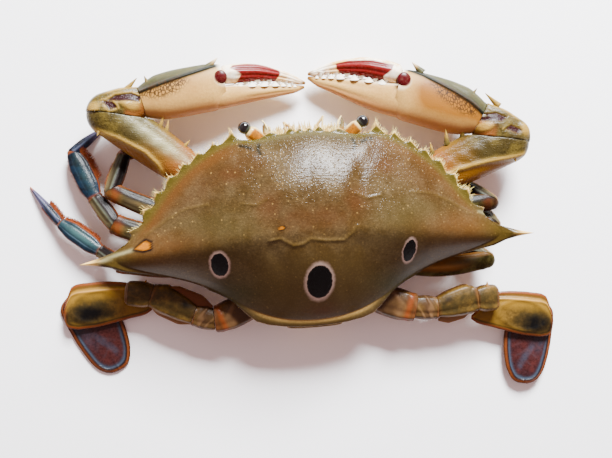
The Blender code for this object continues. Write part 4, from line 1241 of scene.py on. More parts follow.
        for root, tip, half in (
            ((x, edge + 0.9, z), (x, y, middle[2] + thick * 0.7), size),
            ((behind, edge + 0.8, z), (behind, edge - 0.45, z), size * 0.6),
        ):
            forms.append(spike_form(root, tip, half, power=0.9, masks={"white": 1.0}))
    forms.append(thorn(marks["near"], 12.6, 13.2, 0.95, band=0.8))
    forms.append(
        thorn(marks["far"], 10.6, 10.8, 1.5, band=towards_tip(0.8, 0.3), white=towards_tip(0.5, 1, 0.6))
    )
    result["hand"] = forms

    table = [(t, w, h, shift * curve) for t, w, h, shift in MOVING_FINGER]
    moving = limb_form(
        table, moving_root, moving_tip, folded, (1.5, 0.35), breadth, sides=96, rows=130, power=2.1,
        relief=lambda t, f, r, a: -0.28 * bell_at(a, 68, 9) * ramp(t, 0.05, 0.2) * ramp(t, 0.95, 0.7)
        + 0.12 * bell_at(a, 88, 9) - 0.25 * bell_at(a, 112, 9) * ramp(t, 0.05, 0.2) * ramp(t, 0.95, 0.7),
    )
    p, t, f, u = fields(moving)
    press(moving, [(hinge + hand_way * 0.06, -hand_way)])
    top = ramp(u, -0.35, -0.1)
    x, y, r = marks["knuckle"]
    moving["masks"] = {
        "red": area(p, marks["red"], 0.22) * top,
        "dark_red": patch(p, x, y, r * 0.95, r, 0, 0.12) * top,
        "band": 0.3 * ramp(f, 0.75, 1.0) * ramp(t, 0.5, 0.1),
        "tip": ramp(t, 0.93, 0.995),
        "groove": 0.5 * bell(np.degrees(np.arctan2(u, f)) % 360, 68, 6) * ramp(t, 0.05, 0.2),
    }
    forms = [moving]
    for k, (x, y) in enumerate(marks["peaks"][:-1]):
        nx, ny = marks["peaks"][k + 1]
        mx, my = (x + nx) / 2, (y + ny) / 2
        size = (1.6, 1.7, 1.6, 1.35, 1.1, 0.9)[k] * scale
        span = np.clip((mx - moving_root[0]) / (moving_tip[0] - moving_root[0]), 0, 1)
        z = moving_root[2] + (moving_tip[2] - moving_root[2]) * span + 0.8
        paint = {"red": 1.0 if k < 3 else 0.0, "tooth": towards_tip(0.25, 0.5)}
        forms.append(spike_form((mx, my - 0.5, z), (mx, my + 1.25, z), size, power=0.9, masks=paint))
    result["finger"] = forms
    return result


def net_extra(settings):
    """Brown net pattern of the hand."""

    def add(tree, position, shade, gloss, bump):
        cells = add_node(tree, "ShaderNodeTexVoronoi", Scale=1.1)
        cells.feature = "DISTANCE_TO_EDGE"
        stretch = add_node(tree, "ShaderNodeMapping", Scale=(1.15, 0.75, 0.75), Vector=position)
        plug(tree, cells.inputs["Vector"], stretch.outputs[0])
        lines = range_of(tree, cells.outputs["Distance"], 0.2, 0.04)
        mask = times(tree, lines, mask_of(tree, "net"))
        return blend_of(tree, times(tree, mask, 0.95), shade, settings.net), gloss, bump

    return add


class CRAB_OT_claws(bpy.types.Operator):
    """Both claw arms with their spines, hands, fingers and finger teeth"""

    bl_idname = "crab.claws"
    bl_label = "Claws"

    def execute(self, context):
        s = context.scene.crab_claws
        shell = finish(
            "claw_shell", s.olive, s.moss,
            [("dark", s.moss, 0.8, 0.5), ("gold", s.gold, 0.35, 0.4), ("pink", tint("724019"), 0.5, 0.4),
             # The two layers on the next line are painted highlights: a sheen on the left arm and pale spots
             # on the wrist lobes.
             ("gloss", tint("8A8664"), 0.6, 0.5), ("pale", s.ridge, 0.3, 0.8),
             ("ridge", s.ridge, 0.3, 1.0),
             ("dark_red", tint("1E0304"), 0.3, 0.8), ("white", s.white, 0.2, 1.0)],
            grain=0.55, wrinkles=0.9, bump=0.12, rough=(0.26, 0.36), coat=0.02, scale=0.2,
        )
        palm = finish(
            "claw_hand", s.cream, s.cream,
            [("orange", s.orange, 0.4, 0.2), ("pink", tint("A76A45"), 0.3, 0.2),
                ("band", s.band, 0.25, 0.5),
             ("keel", s.keel, 0.4, 0.8), ("white", s.white, 0.2, 0.8),
             ("dark_red", s.dark_red, 0.15, 1.0),
             ("tip", s.gold, 0.2, 1.0)],
            grain=0.7, wrinkles=0.6, bump=0.03, rough=(0.42, 0.55), coat=0.0, scale=0.15,
            extra=net_extra(s), sub=0.15, mottle=0.2,
        )
        finger = finish(
            "claw_finger", s.white, tint("D3A660"),
            [("band", s.band, 0.3, 0.5), ("red", s.red, 0.12, 1.2), ("groove", tint("310505"), 0.1, 0.5),
             ("tooth", s.white, 0.1, 1.0), ("dark_red", s.dark_red, 0.15, 1.0),
             ("tip", s.gold, 0.2, 1.0)],
            grain=0.6, wrinkles=0.5, bump=0.02, rough=(0.24, 0.34), coat=0.04, scale=0.2, sub=0.1,
            mottle=0.25,
        )
        for tag in "lr":
            for part, forms in claw_forms(tag).items():
                paint, slot = {
                    "hand": (palm, "cream_claw"), "knuckle": (finger, "wine_finger"),
                    "finger": (finger, "wine_finger"),
                }.get(part, (shell, "leg_olive"))
                node = f"claw_{tag}_{part}".replace("knuckle", "hand")
                seat(build(f"claw_{tag}_{part}_shell", forms, paint), slot, node)
        return {"FINISHED"}


# Walking legs


class LegSettings(bpy.types.PropertyGroup):
    """Colours of the walking and swimming legs."""

    bristle: strength("Bristle length", "Length of the leg fringes")
    olive: colour("Olive", "Upper side of the long leg pieces", "48421F")
    dusk: colour("Dusk", "Dark streaks on the legs", "070505")
    blue: colour("Blue", "Outer leg pieces", "051828")
    teal: colour("Teal", "Lighter parts of the outer pieces", "2C4444")
    lavender: colour("Lavender", "Toes", "433E57")
    orange: colour("Orange", "Joints and edges", "6A3314")
    fringe: colour("Fringe", "Orange bristles", "74361E")
    cream: colour("Cream", "Undersides and joint rims", "9F763E")
    plate: colour("Plate", "Broad plates of the swimming legs", "5E461C")
    rim: colour("Rim", "Edges of plates and paddles", "3C200C")
    smoke: colour("Smoke", "Dark blotch on the plates", "050505")
    plum: colour("Plum", "Paddles", "381816")
    slate: colour("Slate", "Blue-grey clouds of the paddles", "2E3642")


def leg_relief(depth):
    """Two long furrows with a keel between them, along the upper side of a leg piece, and one below."""

    def relief(t, f, r, a):
        turn = np.degrees(a) % 360
        fade = ramp(t, 0.0, 0.15) * ramp(t, 1.0, 0.85)
        furrows = bell(turn, 58, 12) + bell(turn, 124, 12) + 0.7 * bell(turn, 270, 25)
        return depth * fade * (0.3 * bell(turn, 92, 11) - 0.6 * furrows)

    return relief


LEG_PARTS = {
    "arm": (LEG_ARM, (1, 2.5), 0.25),
    "wrist": (LEG_WRIST, (2.2, 2.0), 0.3),
    "hand": (LEG_HAND, (1.8, 1.4), 0.28),
    "toe": (LEG_TOE, (1.2, 0.2), 0.3),
}


def leg_forms(number, tag):
    """The four pieces of a walking leg."""
    limb, side = f"leg{number}_{tag}", SIDES[tag]
    joints, breadth = JOINTS[limb], BREADTHS[limb]
    planes = joint_planes(joints)
    result = {}
    for k, (part, (table, caps, depth)) in enumerate(LEG_PARTS.items()):
        form = limb_form(
            table, joints[k], joints[k + 1], side, caps, breadth, BOWS[limb] if part == "arm" else 0.0,
            rows=90, sides=64, power=2.2, relief=leg_relief(depth),
        )
        p, t, f, r = fields(form)
        rim = bell(t, 0.97, 0.035) if part != "toe" else 0 * t
        p += (rim * 0.0625)[..., None] * (p - p.mean(1, keepdims=True))
        press(form, planes[k])
        turn = np.degrees(np.arctan2(r, f)) % 360
        under = ramp(r, 0.0, -0.5)
        edge = ramp(np.abs(f), 0.82, 0.98)
        masks = form["masks"]
        if part == "arm":
            masks.update(
                dusk=most(0.95 * bell(turn, 62, 30) * ramp(t, 0.42, 0.68), 0.7 * ramp(t, 0.86, 0.97))
                * ramp(r, 0, 0.3),
                orange=most(0.8 * rim, 0.5 * ramp(t, 0.6, 0.3), 0.6 * edge),
                cream=most(0.8 * under, 0.4 * bell(turn, 95, 10) * ramp(t, 0.9, 0.6)),
            )
            if limb == "leg4_r":
                masks.update(
                    dusk=0.5 * ramp(f, -0.85, -1.0),
                    gold=most(ramp(t, 0.9, 0.7), 0.8 * ramp(f, 0.3, 0.6)) * ramp(f, -0.75, -0.35),
                    bone=0.8 * bell(f, 0.25, 0.35) * ramp(t, 0.6, 0.75) * ramp(t, 0.95, 0.85),
                    orange=0.3 * edge,
                )
            elif tag == "l":
                masks.update(
                    bone=most(0.9 * ramp(f, 0.35, -0.1), 0.7 * ramp(t, 0.75, 0.4)) * ramp(t, 0.98, 0.85),
                    brown=0.75 * ramp(f, -0.05, 0.25) * ramp(t, 0.3, 0.5),
                    dusk=0.85 * bell(turn, 62, 24) * ramp(t, 0.35, 0.6) * ramp(r, 0, 0.3),
                )
        elif part == "wrist":
            masks.update(
                dusk=most(0.9 * bell(turn, 60, 30), 0.6 * bell(turn, 110, 14)),
                # Painted highlight: a thin pale line along the keel.
                pale=0.3 * bell(turn, 95, 6),
                orange=most(0.9 * ramp(t, 0.93, 1.0) * ramp(r, -0.2, 0.4), 0.5 * edge),
                cream=most(0.7 * under, 0.5 * ramp(f, -0.75, -0.98)),
                bone=(0.85 if tag == "l" else 0.5) * ramp(f, -0.05, -0.35),
                brown=ramp(f, -0.2, 0.1),
            )
        elif part == "hand":
            masks.update(
                teal=(1.0 if limb == "leg4_l" else 0.3) * bell(t, 0.5, 0.5) * bell(f, 0.15, 0.5),
                # Painted highlight: a pale line along the hand, strong on the last left leg.
                pale=(0.9 if limb == "leg4_l" else 0.1) * bell(f, -0.45, 0.07) * bell(t, 0.5, 0.5)
                * ramp(r, 0, 0.2),
                orange=most(0.9 * edge, 0.9 * ramp(t, 0.96, 1.0), 0.6 * ramp(t, 0.06, 0.0)),
                cream=0.6 * under,
            )
        else:
            masks.update(
                lavender=most(ramp(t, 0.3, 0.7), 0.5 * bell(turn, 90, 18)),
                # Painted highlight: a thin pale line along the keel.
                pale=0.3 * bell(turn, 92, 6),
                tip=ramp(t, 0.85, 1.0),
                orange=0.6 * edge * ramp(t, 0.6, 0.2),
            )
        result[part] = [form]
    return result


def edge_roots(table, start, end, hand, edge, low, high, count, breadth, out, bow=0.0):
    """Root points along one edge of a limb piece, and the ways that its bristles point."""
    table = np.array(table, float)
    length, along, across, lift = frame_of(start, end, hand)
    roots, aims = [], []
    for k in range(count):
        t = low + (high - low) * (k + 0.5) / count
        width, shift = (column(table, c, np.array([t]))[0] * breadth for c in (1, 3))
        shift -= bow * 4 * t * (1 - t)
        roots.append(np.array(start) + along * (t * length) + across * (shift + edge * width * 0.94))
        aims.append((across * edge + along * 0.45 + lift * 0.05) * out)
    return roots, aims


FRINGES = [  # limb, piece, edge, from, to, bristles, length
    ("leg3_l", "hand", 1, 0.3, 1.0, 330, 2.3), ("leg3_l", "hand", -1, 0.1, 0.9, 70, 0.5),
    ("leg4_l", "hand", 1, 0.12, 0.95, 330, 1.35), ("leg4_l", "toe", 1, 0.0, 0.45, 210, 1.7),
    ("leg4_l", "toe", -1, 0.0, 0.5, 70, 0.6), ("leg2_l", "hand", -1, 0.2, 0.9, 90, 1.0),
    ("leg3_r", "hand", 1, 0.1, 0.9, 90, 0.9), ("leg2_r", "hand", 1, 0.1, 0.9, 90, 0.9),
    ("leg4_r", "hand", 1, 0.1, 0.9, 90, 0.9), ("leg2_l", "wrist", -1, 0.1, 0.7, 50, 0.7),
]


class CRAB_OT_legs(bpy.types.Operator):
    """Six walking legs with keeled pieces and orange bristle fringes"""

    bl_idname = "crab.legs"
    bl_label = "Walking legs"

    def execute(self, context):
        s = context.scene.crab_legs
        shell = finish(
            "leg_shell", s.olive, tint("231B05"),
            [("gold", tint("5E3C12"), 0.4, 0.4), ("brown", tint("1C100C"), 0.3, 0.4),
                ("bone", tint("463C28"), 0.4, 0.5), ("cream", s.cream, 0.3, 0.5),
                ("orange", s.orange, 0.5, 0.6), ("dusk", s.dusk, 0.5, 0.5),
             # The pale layer paints highlight lines.
             ("pale", tint("677268"), 0.5, 0.8)],
            grain=0.5, wrinkles=0.5, bump=0.06, rough=(0.34, 0.46), shine=0.14, coat=0.02, scale=0.25,
        )
        outer = finish(
            "leg_outer", s.blue, tint("05050A"),
            [("teal", s.teal, 0.6, 0.4), ("lavender", s.lavender, 0.4, 0.5), ("cream", s.cream, 0.3, 0.5),
             # The pale layer on the next line paints highlight lines.
             ("orange", s.orange, 0.5, 0.9), ("pale", tint("4F6C7B"), 0.5, 0.8),
             ("tip", tint("8E512E"), 0.2, 1.0)],
            grain=0.5, wrinkles=0.6, bump=0.06, rough=(0.26, 0.36), coat=0.03, scale=0.3,
        )
        hair = hair_finish("fringe_orange", s.fringe, s.orange, 0.8)
        for tag in "lr":
            for number in (2, 3, 4):
                for part, forms in leg_forms(number, tag).items():
                    name = f"leg{number}_{tag}_{part}"
                    outside = part in ("hand", "toe")
                    piece = build(name + "_shell", forms, outer if outside else shell)
                    seat(piece, "leg_blue" if outside else "leg_olive", name)
        roots, aims = [], []
        for limb, part, edge, low, high, count, out in FRINGES:
            k = list(LEG_PARTS).index(part)
            side = SIDES[limb[-1]]
            more = edge_roots(LEG_PARTS[part][0], JOINTS[limb][k], JOINTS[limb][k + 1], side, edge, low,
                high, count,
                              BREADTHS[limb], out * s.bristle)
            roots += more[0]
            aims += more[1]
        seat(bristles("leg_fringes", roots, aims, 0.13, 0.3, 5, hair), "leg_blue")
        return {"FINISHED"}


# Swimming legs

OAR_PARTS = {
    "base": (OAR_BASE, (1, 1.8)), "link": (OAR_LINK, (1.8, 1.8)), "arm": (OAR_ARM, (1.8, 2.5)),
    "wrist": (OAR_WRIST, (2.5, 1.0)),
}
OAR_TRIM = {  # thin flanges of the arm, and the small pointed lappets of the arm and the wrist
    "oar_l": (
        [((52.0, 20.8, 6.0), (39.4, 27.8, 6.0), 2.1, 1.0),
            ((46.8, 15.8, 9.0), (32.4, 22.8, 8.8), 2.3, 0.0)],
        [("arm", (46.6, 17.6, 8.6), (45.2, 14.8, 8.8), 1.2),
            ("wrist", (53.4, 15.2, 8.0), (52.4, 12.8, 8.2), 1.1)],
    ),
    "oar_r": (
        [((-52.2, 30.6, 7.0), (-41.4, 33.0, 7.0), 2.0, 1.0)],
        [("arm", (-49.6, 24.8, 10.2), (-50.8, 21.8, 10.4), 1.2),
            ("wrist", (-57.4, 24.2, 10.0), (-57.6, 21.4, 10.2), 1.2)],
    ),
}


def from_edge(table, near, far, share, front, breadth):
    """Distance of each point of a flat blade from its edge, in millimetres."""
    table = np.array(table, float)
    length = np.linalg.norm(np.subtract(far, near))
    aside = (1 - np.abs(front)) * column(table, 1, share) * breadth
    ahead = np.maximum(1.01 - share, 0.001) * length
    return 1 / np.sqrt(1 / np.maximum(aside, 0.05) ** 2 + 1 / np.maximum(ahead, 0.05) ** 2)


def oar_forms(tag):
    """The six pieces of a swimming leg."""
    limb, side = f"oar_{tag}", SIDES[tag]
    joints, breadth = JOINTS[limb], BREADTHS[limb]
    planes = joint_planes(joints)
    result = {}
    for k, (part, (table, caps)) in enumerate(OAR_PARTS.items()):
        form = limb_form(
            table, joints[k], joints[k + 1], side, caps, breadth, rows=80, sides=72, power=2.4,
            relief=lambda t, f, r, a: 0.22 * bell_at(a, 135, 12) - 0.28 * bell_at(a, 112, 12)
            + 0.15 * bell_at(a, 42, 10),
        )
        p, t, f, r = fields(form)
        rim = ramp(t, 0.9, 1.0)
        p += (bell(t, 0.96, 0.04) * 0.06)[..., None] * (p - p.mean(1, keepdims=True))
        press(form, planes[k])
        masks = form["masks"]
        masks.update(
            rim=most(0.8 * ramp(np.abs(f), 0.86, 0.99), 0.8 * rim, 0.5 * ramp(t, 0.1, 0.0)),
            cream=most(0.8 * ramp(r, 0.0, -0.5), 0.55 * ramp(f, -0.85, -1.0), 0.5 * bell(t, 0.99, 0.02)),
        )
        if part in ("base", "link"):
            fold = np.sin(t * (19 if part == "base" else 13) + f * 3 + 1.2 * np.sin(f * 4 + t * 6))
            p[..., 2] += 0.28 * bell(fold, 1, 0.6) * ramp(r, 0, 0.4) * bell(t, 0.55, 0.4)
            masks.update(
                flesh=0.9 * ramp(r, -0.3, 0.2) * bell(t, 0.55, 0.5),
                pink=0.3 * bell(fold, 1, 0.6) * ramp(r, 0, 0.4),
            )
            bar = bell(t, 0.9, 0.055) if part == "base" else 0.0  # orange edge of the soft base
            p[..., 2] += 0.5 * bar * ramp(r, 0, 0.5)
            masks["orange"] = most(0.5 * rim, bar * ramp(r, -0.2, 0.3))
            for name in ("flesh", "pink"):
                masks[name] = masks[name] * (1 - bar)
        else:
            masks["haze"] = 0.6 * ramp(np.abs(f), 0.85, 0.5) * ramp(r, 0, 0.3)
        masks["smoke"] = (part == "arm") * 0.75 * bell(f, 0.35, 0.3) * bell(t, 0.25, 0.16) * ramp(r, 0,
            0.4)
        result[part] = [form]
    flanges, lappets = OAR_TRIM[limb]
    for a, b, width, pale in flanges:
        blade = limb_form([(0.0, 0.5, 0.25, 0), (0.3, width, 0.35, 0), (0.7, width, 0.35, 0),
            (1.0, 0.5, 0.25, 0)], a, b, side, (0.3, 0.3),
                          rows=40, sides=24, power=2)
        blade["masks"] = {
            "pink": pale, "cream": 0.6 * pale * ramp(np.abs(blade["front"]), 0.7, 0.95),
            "orange": 0.45 * (1 - pale), "rim": 0.7 * (1 - pale),
        }
        result["arm"].append(blade)
    for part, root, tip, half in lappets:
        result[part].append(spike_form(root, tip, half,
            masks={"orange": 0.3, "cream": towards_tip(0.2, 0.8, 0.7)}))
    near, far, paddle_near, paddle_far = PLATES[limb]
    plate = limb_form(OAR_PLATE, near, far, side, (0, 0), rows=140, sides=96, power=2.2, breadth=0.97)
    p, t, f, r = fields(plate)
    p[..., 2] += (0.35 * bell(f, 0.62, 0.07) - 0.2 * bell(f, 0.78, 0.1)) * ramp(r, 0, 0.3) * ramp(t,
        0.02, 0.15)
    p[..., 2] += 0.25 * bell(np.hypot((f + 0.1) / 0.8, (t - 0.62) / 0.35), 0.85, 0.12) * ramp(r, 0, 0.3)
    blotch = (71, 22.6, 5.6, 2.7, 4) if tag == "l" else (-74.6, 37.2, 5.4, 3.0, -12)
    inward = from_edge(OAR_PLATE, near, far, t, f, 0.97)
    plate["masks"] = {
        "smoke": patch(p, *blotch, 0.75) * ramp(r, -0.2, 0.2),
        "haze": 0.8 * patch(p, blotch[0], blotch[1] - 1.0, blotch[2] * 1.2, blotch[3] * 1.5, blotch[4],
            0.8),
        "gold": most(0.9 * ramp(f, -0.1, 0.45), 0.6 * ramp(t, 0.5, 0.2), 0.7 * ramp(f, -0.6, -0.9)),
        "rim": most(0.9 * ramp(inward, 1.0, 0.6), 0.7 * ramp(f, 0.68, 0.8)),
        "cream": most(0.8 * bell(f, 0.63, 0.03) * ramp(r, 0, 0.2), 0.5 * ramp(r, -0.1, -0.5),
            0.5 * ramp(t, 0.05, 0.0)),
        "orange": most(0.9 * bell(inward, 0.45, 0.4), 0.5 * bell(t, 0.98, 0.02)),
        "dusk": 0.8 * bell(inward, 1.15, 0.25) * ramp(f, 0.2, -0.3),
    }
    result["plate"] = [plate]
    paddle = limb_form(PADDLE, paddle_near, paddle_far, side, (0, 0), rows=130, sides=96, power=2.1,
        breadth=0.98)
    p, t, f, r = fields(paddle)
    inward = from_edge(PADDLE, paddle_near, paddle_far, t, f, 0.98)
    swell = 0.2 * bell(f, 0.0, 0.04) + 0.25 * bell(inward, 1.15, 0.3) - 0.15 * bell(inward, 1.9, 0.5)
    p[..., 2] += swell * ramp(r, 0, 0.3)
    cross = (t - 0.5) * 6 + f * 3
    paddle["masks"] = {
        "slate": most(bell(inward, 1.75, 0.5), 0.55 * bell(f, 0.55, 0.35) * ramp(t, 0.75, 0.3),
            0.4 * bell(np.sin(cross * 2), 1, 0.5) * ramp(inward, 2.5, 4)),
        "rim": ramp(inward, 1.3, 0.9),
        "orange": 0.9 * bell(inward, 0.75, 0.35),
        "smoke": most(0.9 * bell(inward, 1.3, 0.22), 0.8 * ramp(t, 0.2, 0.04) * ramp(inward, 1.2, 2.0)),
        "vein": 0.45 * ramp(inward, 2.5, 4.5) * bell(np.sin((t * 7 - np.abs(f) * 1.4) * math.pi), 0, 0.3),
    }
    result["paddle"] = [paddle]
    return result


def rim_roots(table, start, end, hand, breadth, count, out, low=0.05, high=1.0):
    """Roots all round the edge of a plate or paddle, and the ways that the bristles point."""
    table = np.array(table, float)
    length, along, across, _ = frame_of(start, end, hand)
    spans = np.linspace(low, high, 200)
    width = column(table, 1, spans) * breadth
    shift = column(table, 3, spans) * breadth
    one = np.stack((spans * length, shift + width), -1)
    other = np.stack((spans * length, shift - width), -1)[::-1]
    loop = np.concatenate((one, other))
    steps = np.concatenate(([0], np.cumsum(np.linalg.norm(np.diff(loop, axis=0), axis=1))))
    at = np.linspace(0, steps[-1], count)
    xs, ys = np.interp(at, steps, loop[:, 0]), np.interp(at, steps, loop[:, 1])
    dx, dy = np.gradient(xs), np.gradient(ys)
    size = np.hypot(dx, dy) + 1e-9
    roots, aims = [], []
    for x, y, nx, ny in zip(xs, ys, -dy / size, dx / size):
        if ny * y < 0 and abs(ny) > 0.3:
            nx, ny = -nx, -ny
        elif nx < 0 and abs(ny) <= 0.3:
            nx, ny = -nx, -ny
        roots.append(np.array(start) + along * (x - 0.15 * nx) + across * (y - 0.15 * ny))
        aims.append((along * (nx + 0.35) + across * ny) * out)
    return roots, aims


class CRAB_OT_oars(bpy.types.Operator):
    """Both swimming legs with their plates, paddles and fine edge fringes"""

    bl_idname = "crab.oars"
    bl_label = "Swimming legs"

    def execute(self, context):
        s = context.scene.crab_legs
        shell = finish(
            "oar_shell", s.plate, tint("3C2C0E"),
            [("gold", tint("7A5A18"), 0.6, 0.3), ("haze", tint("282211"), 0.8, 0.4),
                ("pale", tint("58471C"), 0.6, 0.3), ("cream", s.cream, 0.4, 0.7),
             ("rim", s.rim, 0.4, 0.8), ("orange", s.orange, 0.4, 0.8), ("dusk", s.smoke, 0.3, 0.8),
             ("flesh", tint("3E2A1A"), 0.4, 0.4), ("pink", tint("7A5A3C"), 0.4, 0.5),
             ("smoke", s.smoke, 0.9, 0.35)],
            grain=0.45, wrinkles=0.5, bump=0.05, rough=(0.28, 0.4), coat=0.03, scale=0.2,
        )
        paddle = finish(
            "paddle_shell", s.plum, tint("281214"),
            [("slate", s.slate, 0.9, 0.35), ("vein", tint("3B2A2D"), 0.9, 0.5), ("rim", s.rim, 0.3, 0.8),
             ("orange", s.orange, 0.4, 0.8), ("smoke", s.smoke, 0.4, 0.5)],
            grain=0.5, wrinkles=0.8, bump=0.07, rough=(0.24, 0.36), coat=0.1, scale=0.25,
        )
        hair = hair_finish("fringe_brown", s.rim, s.fringe, 0.8)
        roots, aims = [], []
        for tag, side in SIDES.items():
            limb = f"oar_{tag}"
            for part, forms in oar_forms(tag).items():
                piece = build(f"{limb}_{part}_shell", forms, paddle if part == "paddle" else shell)
                seat(piece, "paddle_plum" if part == "paddle" else "leg_olive", f"{limb}_{part}")
            near, far, paddle_near, paddle_far = PLATES[limb]
            for table, a, b, breadth, count in ((OAR_PLATE, near, far, 0.97, 420),
                (PADDLE, paddle_near, paddle_far, 0.97, 700)):
                more = rim_roots(table, a, b, side, breadth, count, 0.3 * s.bristle,
                    0.1 if table is OAR_PLATE else 0.15)
                roots += more[0]
                aims += more[1]
        seat(bristles("oar_fringes", roots, aims, 0.1, 0.3, 9, hair), "paddle_plum")
        return {"FINISHED"}


# Face


class FaceSettings(bpy.types.PropertyGroup):
    """Sizes and colours of the eyes, feelers and brow bristles."""

    eye: FloatProperty(name="Eye width", description="Width of the dark globe", default=0.0041,
        unit="LENGTH", min=0.001, max=0.006)
    bristle: strength("Bristle length", "Length of the brow bristles")
    stalk: colour("Stalk", "Eyestalks and bases of the feelers", "8A5000")
    cream: colour("Cream", "Bristles and soft parts of the face", "D8C07E")
    dark: colour("Cornea", "Dark globe of the eye", "050505")
    clear: colour("Clear rim", "Grey-green rim round the globe", "30362A")


class CRAB_OT_face(bpy.types.Operator):
    """Eyes on their stalks, both pairs of feelers, and the bristles under the brow"""

    bl_idname = "crab.face"
    bl_label = "Face"

    def execute(self, context):
        s = context.scene.crab_face
        stalk_paint = finish(
            "eyestalk_shell", s.stalk, tint("7A4A10"),
            [("cream", s.cream, 0.5, 0.8), ("dark", tint("1C1E0D"), 0.4, 1.0)],
            grain=0.3, bump=0.03, rough=(0.25, 0.35), coat=0.15, scale=0.5, sub=0.1,
        )
        lens = finish(
            "eye_lens", s.dark, tint("050505"), [("clear", s.clear, 0.25, 1.2)],
            grain=0.12, wrinkles=0.0, bump=0.01, rough=(0.06, 0.1), coat=1.0, scale=0.8,
        )
        feeler = finish(
            "feeler_shell", s.stalk, s.cream,
            [("cream", s.cream, 0.4, 0.8), ("dark", tint("282C1B"), 0.4, 1.0)],
            grain=0.3, bump=0.03, rough=(0.3, 0.45), coat=0.3, scale=0.5,
        )
        hair = hair_finish("fringe_cream", tint("E6D98C"), tint("B4924A"), 0.6)
        radius = s.eye / MM / 2
        for tag, side in SIDES.items():
            root, neck, end = (side * 13.6, -28.3, 17.4), (side * 17.2, -31.2, 18.6), (side * 18.5,
                -32.3, 19.0)
            stalk = limb_form([(0.0, 2.0, 1.7, 0), (0.4, 2.35, 2.1, 0), (0.8, 2.3, 2.1, 0),
                (1.0, 1.9, 1.9, 0)], root, neck, side,
                              (0.8, 0.6), rows=40, sides=48)
            stalk["masks"] = {
                "cream": most(0.6 * ramp(stalk["share"], 0.86, 0.97),
                    0.6 * ramp(stalk["rise"], -0.1, -0.6), 0.7 * ramp(np.abs(stalk["front"]), 0.6, 0.95)),
                "dark": 0.6 * bell(stalk["share"], 0.1, 0.08),
            }
            seat(build(f"eyestalk_{tag}_shell", [stalk], stalk_paint), "cream_claw", f"eyestalk_{tag}")
            ball = globe(end, radius, (side * 0.75, -0.62, 0.12))
            ball["masks"] = {"clear": 0.9 * ramp(ball["share"], 0.42, 0.3)}
            seat(build(f"eye_{tag}_lens", [ball], lens), "eye_black", f"eye_{tag}")
            start, tip = (side * 9.4, -26.8, 14.8), (side * 12.6, -35.0, 13.8)
            spine = [(0.0, 1.2, 1.2, 0), (0.22, 1.35, 1.25, 0), (0.42, 1.0, 0.95, 0),
                (0.5, 0.55, 0.5, 0), (0.75, 0.36, 0.34, 0.3), (1.0, 0.2, 0.2, 0)]
            whip = limb_form(spine, start, tip, side, (0.5, 0.1), rows=50, sides=24, power=2)
            whip["masks"] = {"dark": 0.6 * bell(whip["share"], 0.5, 0.1),
                "cream": ramp(whip["share"], 0.5, 0.7)}
            lobe = limb_form([(0.0, 0.8, 0.8, 0), (0.5, 0.95, 0.9, 0), (1.0, 0.5, 0.5, 0)],
                (side * 11.4, -28.6, 17.2),
                             (side * 12.4, -32.6, 17.4), side, (0.5, 0.5), rows=30, sides=24, power=2)
            lobe["masks"] = {"dark": 0.7 * ramp(lobe["share"], 0.2, 0.8)}
            thorn = spike_form((side * 12.0, -31.6, 17.4), (side * 12.4, -34.0, 17.8), 0.7,
                masks={"dark": 0.8})
            seat(build(f"feeler_{tag}_shell", [whip, lobe, thorn], feeler), "cream_claw",
                f"antenna_{tag}")
        small = []
        for side in (1, -1):  # the short inner feelers, folded under the brow
            for a, b, width in (
                ((side * 3.2, -28.0, 15.6), (side * 4.0, -32.0, 17.0), 0.75),
                ((side * 4.0, -31.8, 17.0), (side * 6.2, -34.6 if side < 0 else -33.4, 18.0), 0.5),
                ((side * 6.2, -34.6 if side < 0 else -33.4, 18.0), (side * 5.4, -29.6, 18.6), 0.32),
                ((side * 6.6, -28.4, 15.4), (side * 8.2, -31.6, 16.6), 0.9),
            ):
                form = limb_form([(0.0, width, width, 0), (1.0, width * 0.75, width * 0.75, 0)], a, b,
                    1 if b[0] > a[0] else -1,
                                 (width, width * 0.7), rows=16, sides=20, power=2)
                form["masks"]["cream"] = 0.35 if side > 0 else 0.6
                small.append(form)
        rng = np.random.default_rng(11)
        for x in np.linspace(-11.2, 11.2, 52):  # soft flaps and mouth brushes that show before the brow
            size = rng.uniform(0.45, 0.8)
            tip = (x + rng.uniform(-1.1, 1.1), -31.8 - rng.uniform(0.1, 2.0)
                * (1.2 if abs(x - 2) < 6 else 0.7), 17.6 + rng.uniform(-0.9, 0.7))
            small.append(spike_form((x, -28.8, 17.2 + rng.uniform(-0.6, 0.3)), tip, size, 12, 9,
                (rng.uniform(-0.4, 0.4), 0, 0), 1.1,
                                    {"cream": rng.uniform(0.2, 1.0)}))
        seat(build("inner_feelers", small, feeler), "cream_claw")
        rng = np.random.default_rng(4)
        roots, aims = [], []
        for x in np.linspace(-10.5, 10.5, 260):  # under the brow
            x += rng.uniform(-0.1, 0.1)
            roots.append((x, -29.2 + rng.uniform(-0.5, 0.5), 18.2 + rng.uniform(-1.5, 0.5)))
            aims.append(np.array((0.12 * x / 10 + rng.uniform(-0.3, 0.3), -1.0, 0.12))
                * rng.uniform(2.2, 3.9) * s.bristle)
        edge = full_edge()
        for a, b in zip(edge, np.roll(edge, -1, axis=0)):  # between the side teeth
            if a[1] > -3 or abs(a[0]) < 20 or abs(a[0]) > 55:
                continue
            count = max(2, int(np.linalg.norm(b - a) * (5.5 if a[0] < 0 else 2.2)))
            for t in (np.arange(count) + 0.5) / count:
                p = a + (b - a) * t
                out = unit((p[0] * 0.8, p[1] * 1.6 - 6, 0))
                roots.append(p - out * 0.5 - UP * 0.6)
                aims.append((out + np.array((rng.uniform(-0.3, 0.3), rng.uniform(-0.3, 0.3), 0.05)))
                    * rng.uniform(1.5, 2.5) * s.bristle)
        seat(bristles("brow_bristles", roots, aims, 0.12, 0.25, 3, hair), "cream_claw")
        return {"FINISHED"}


# Underside


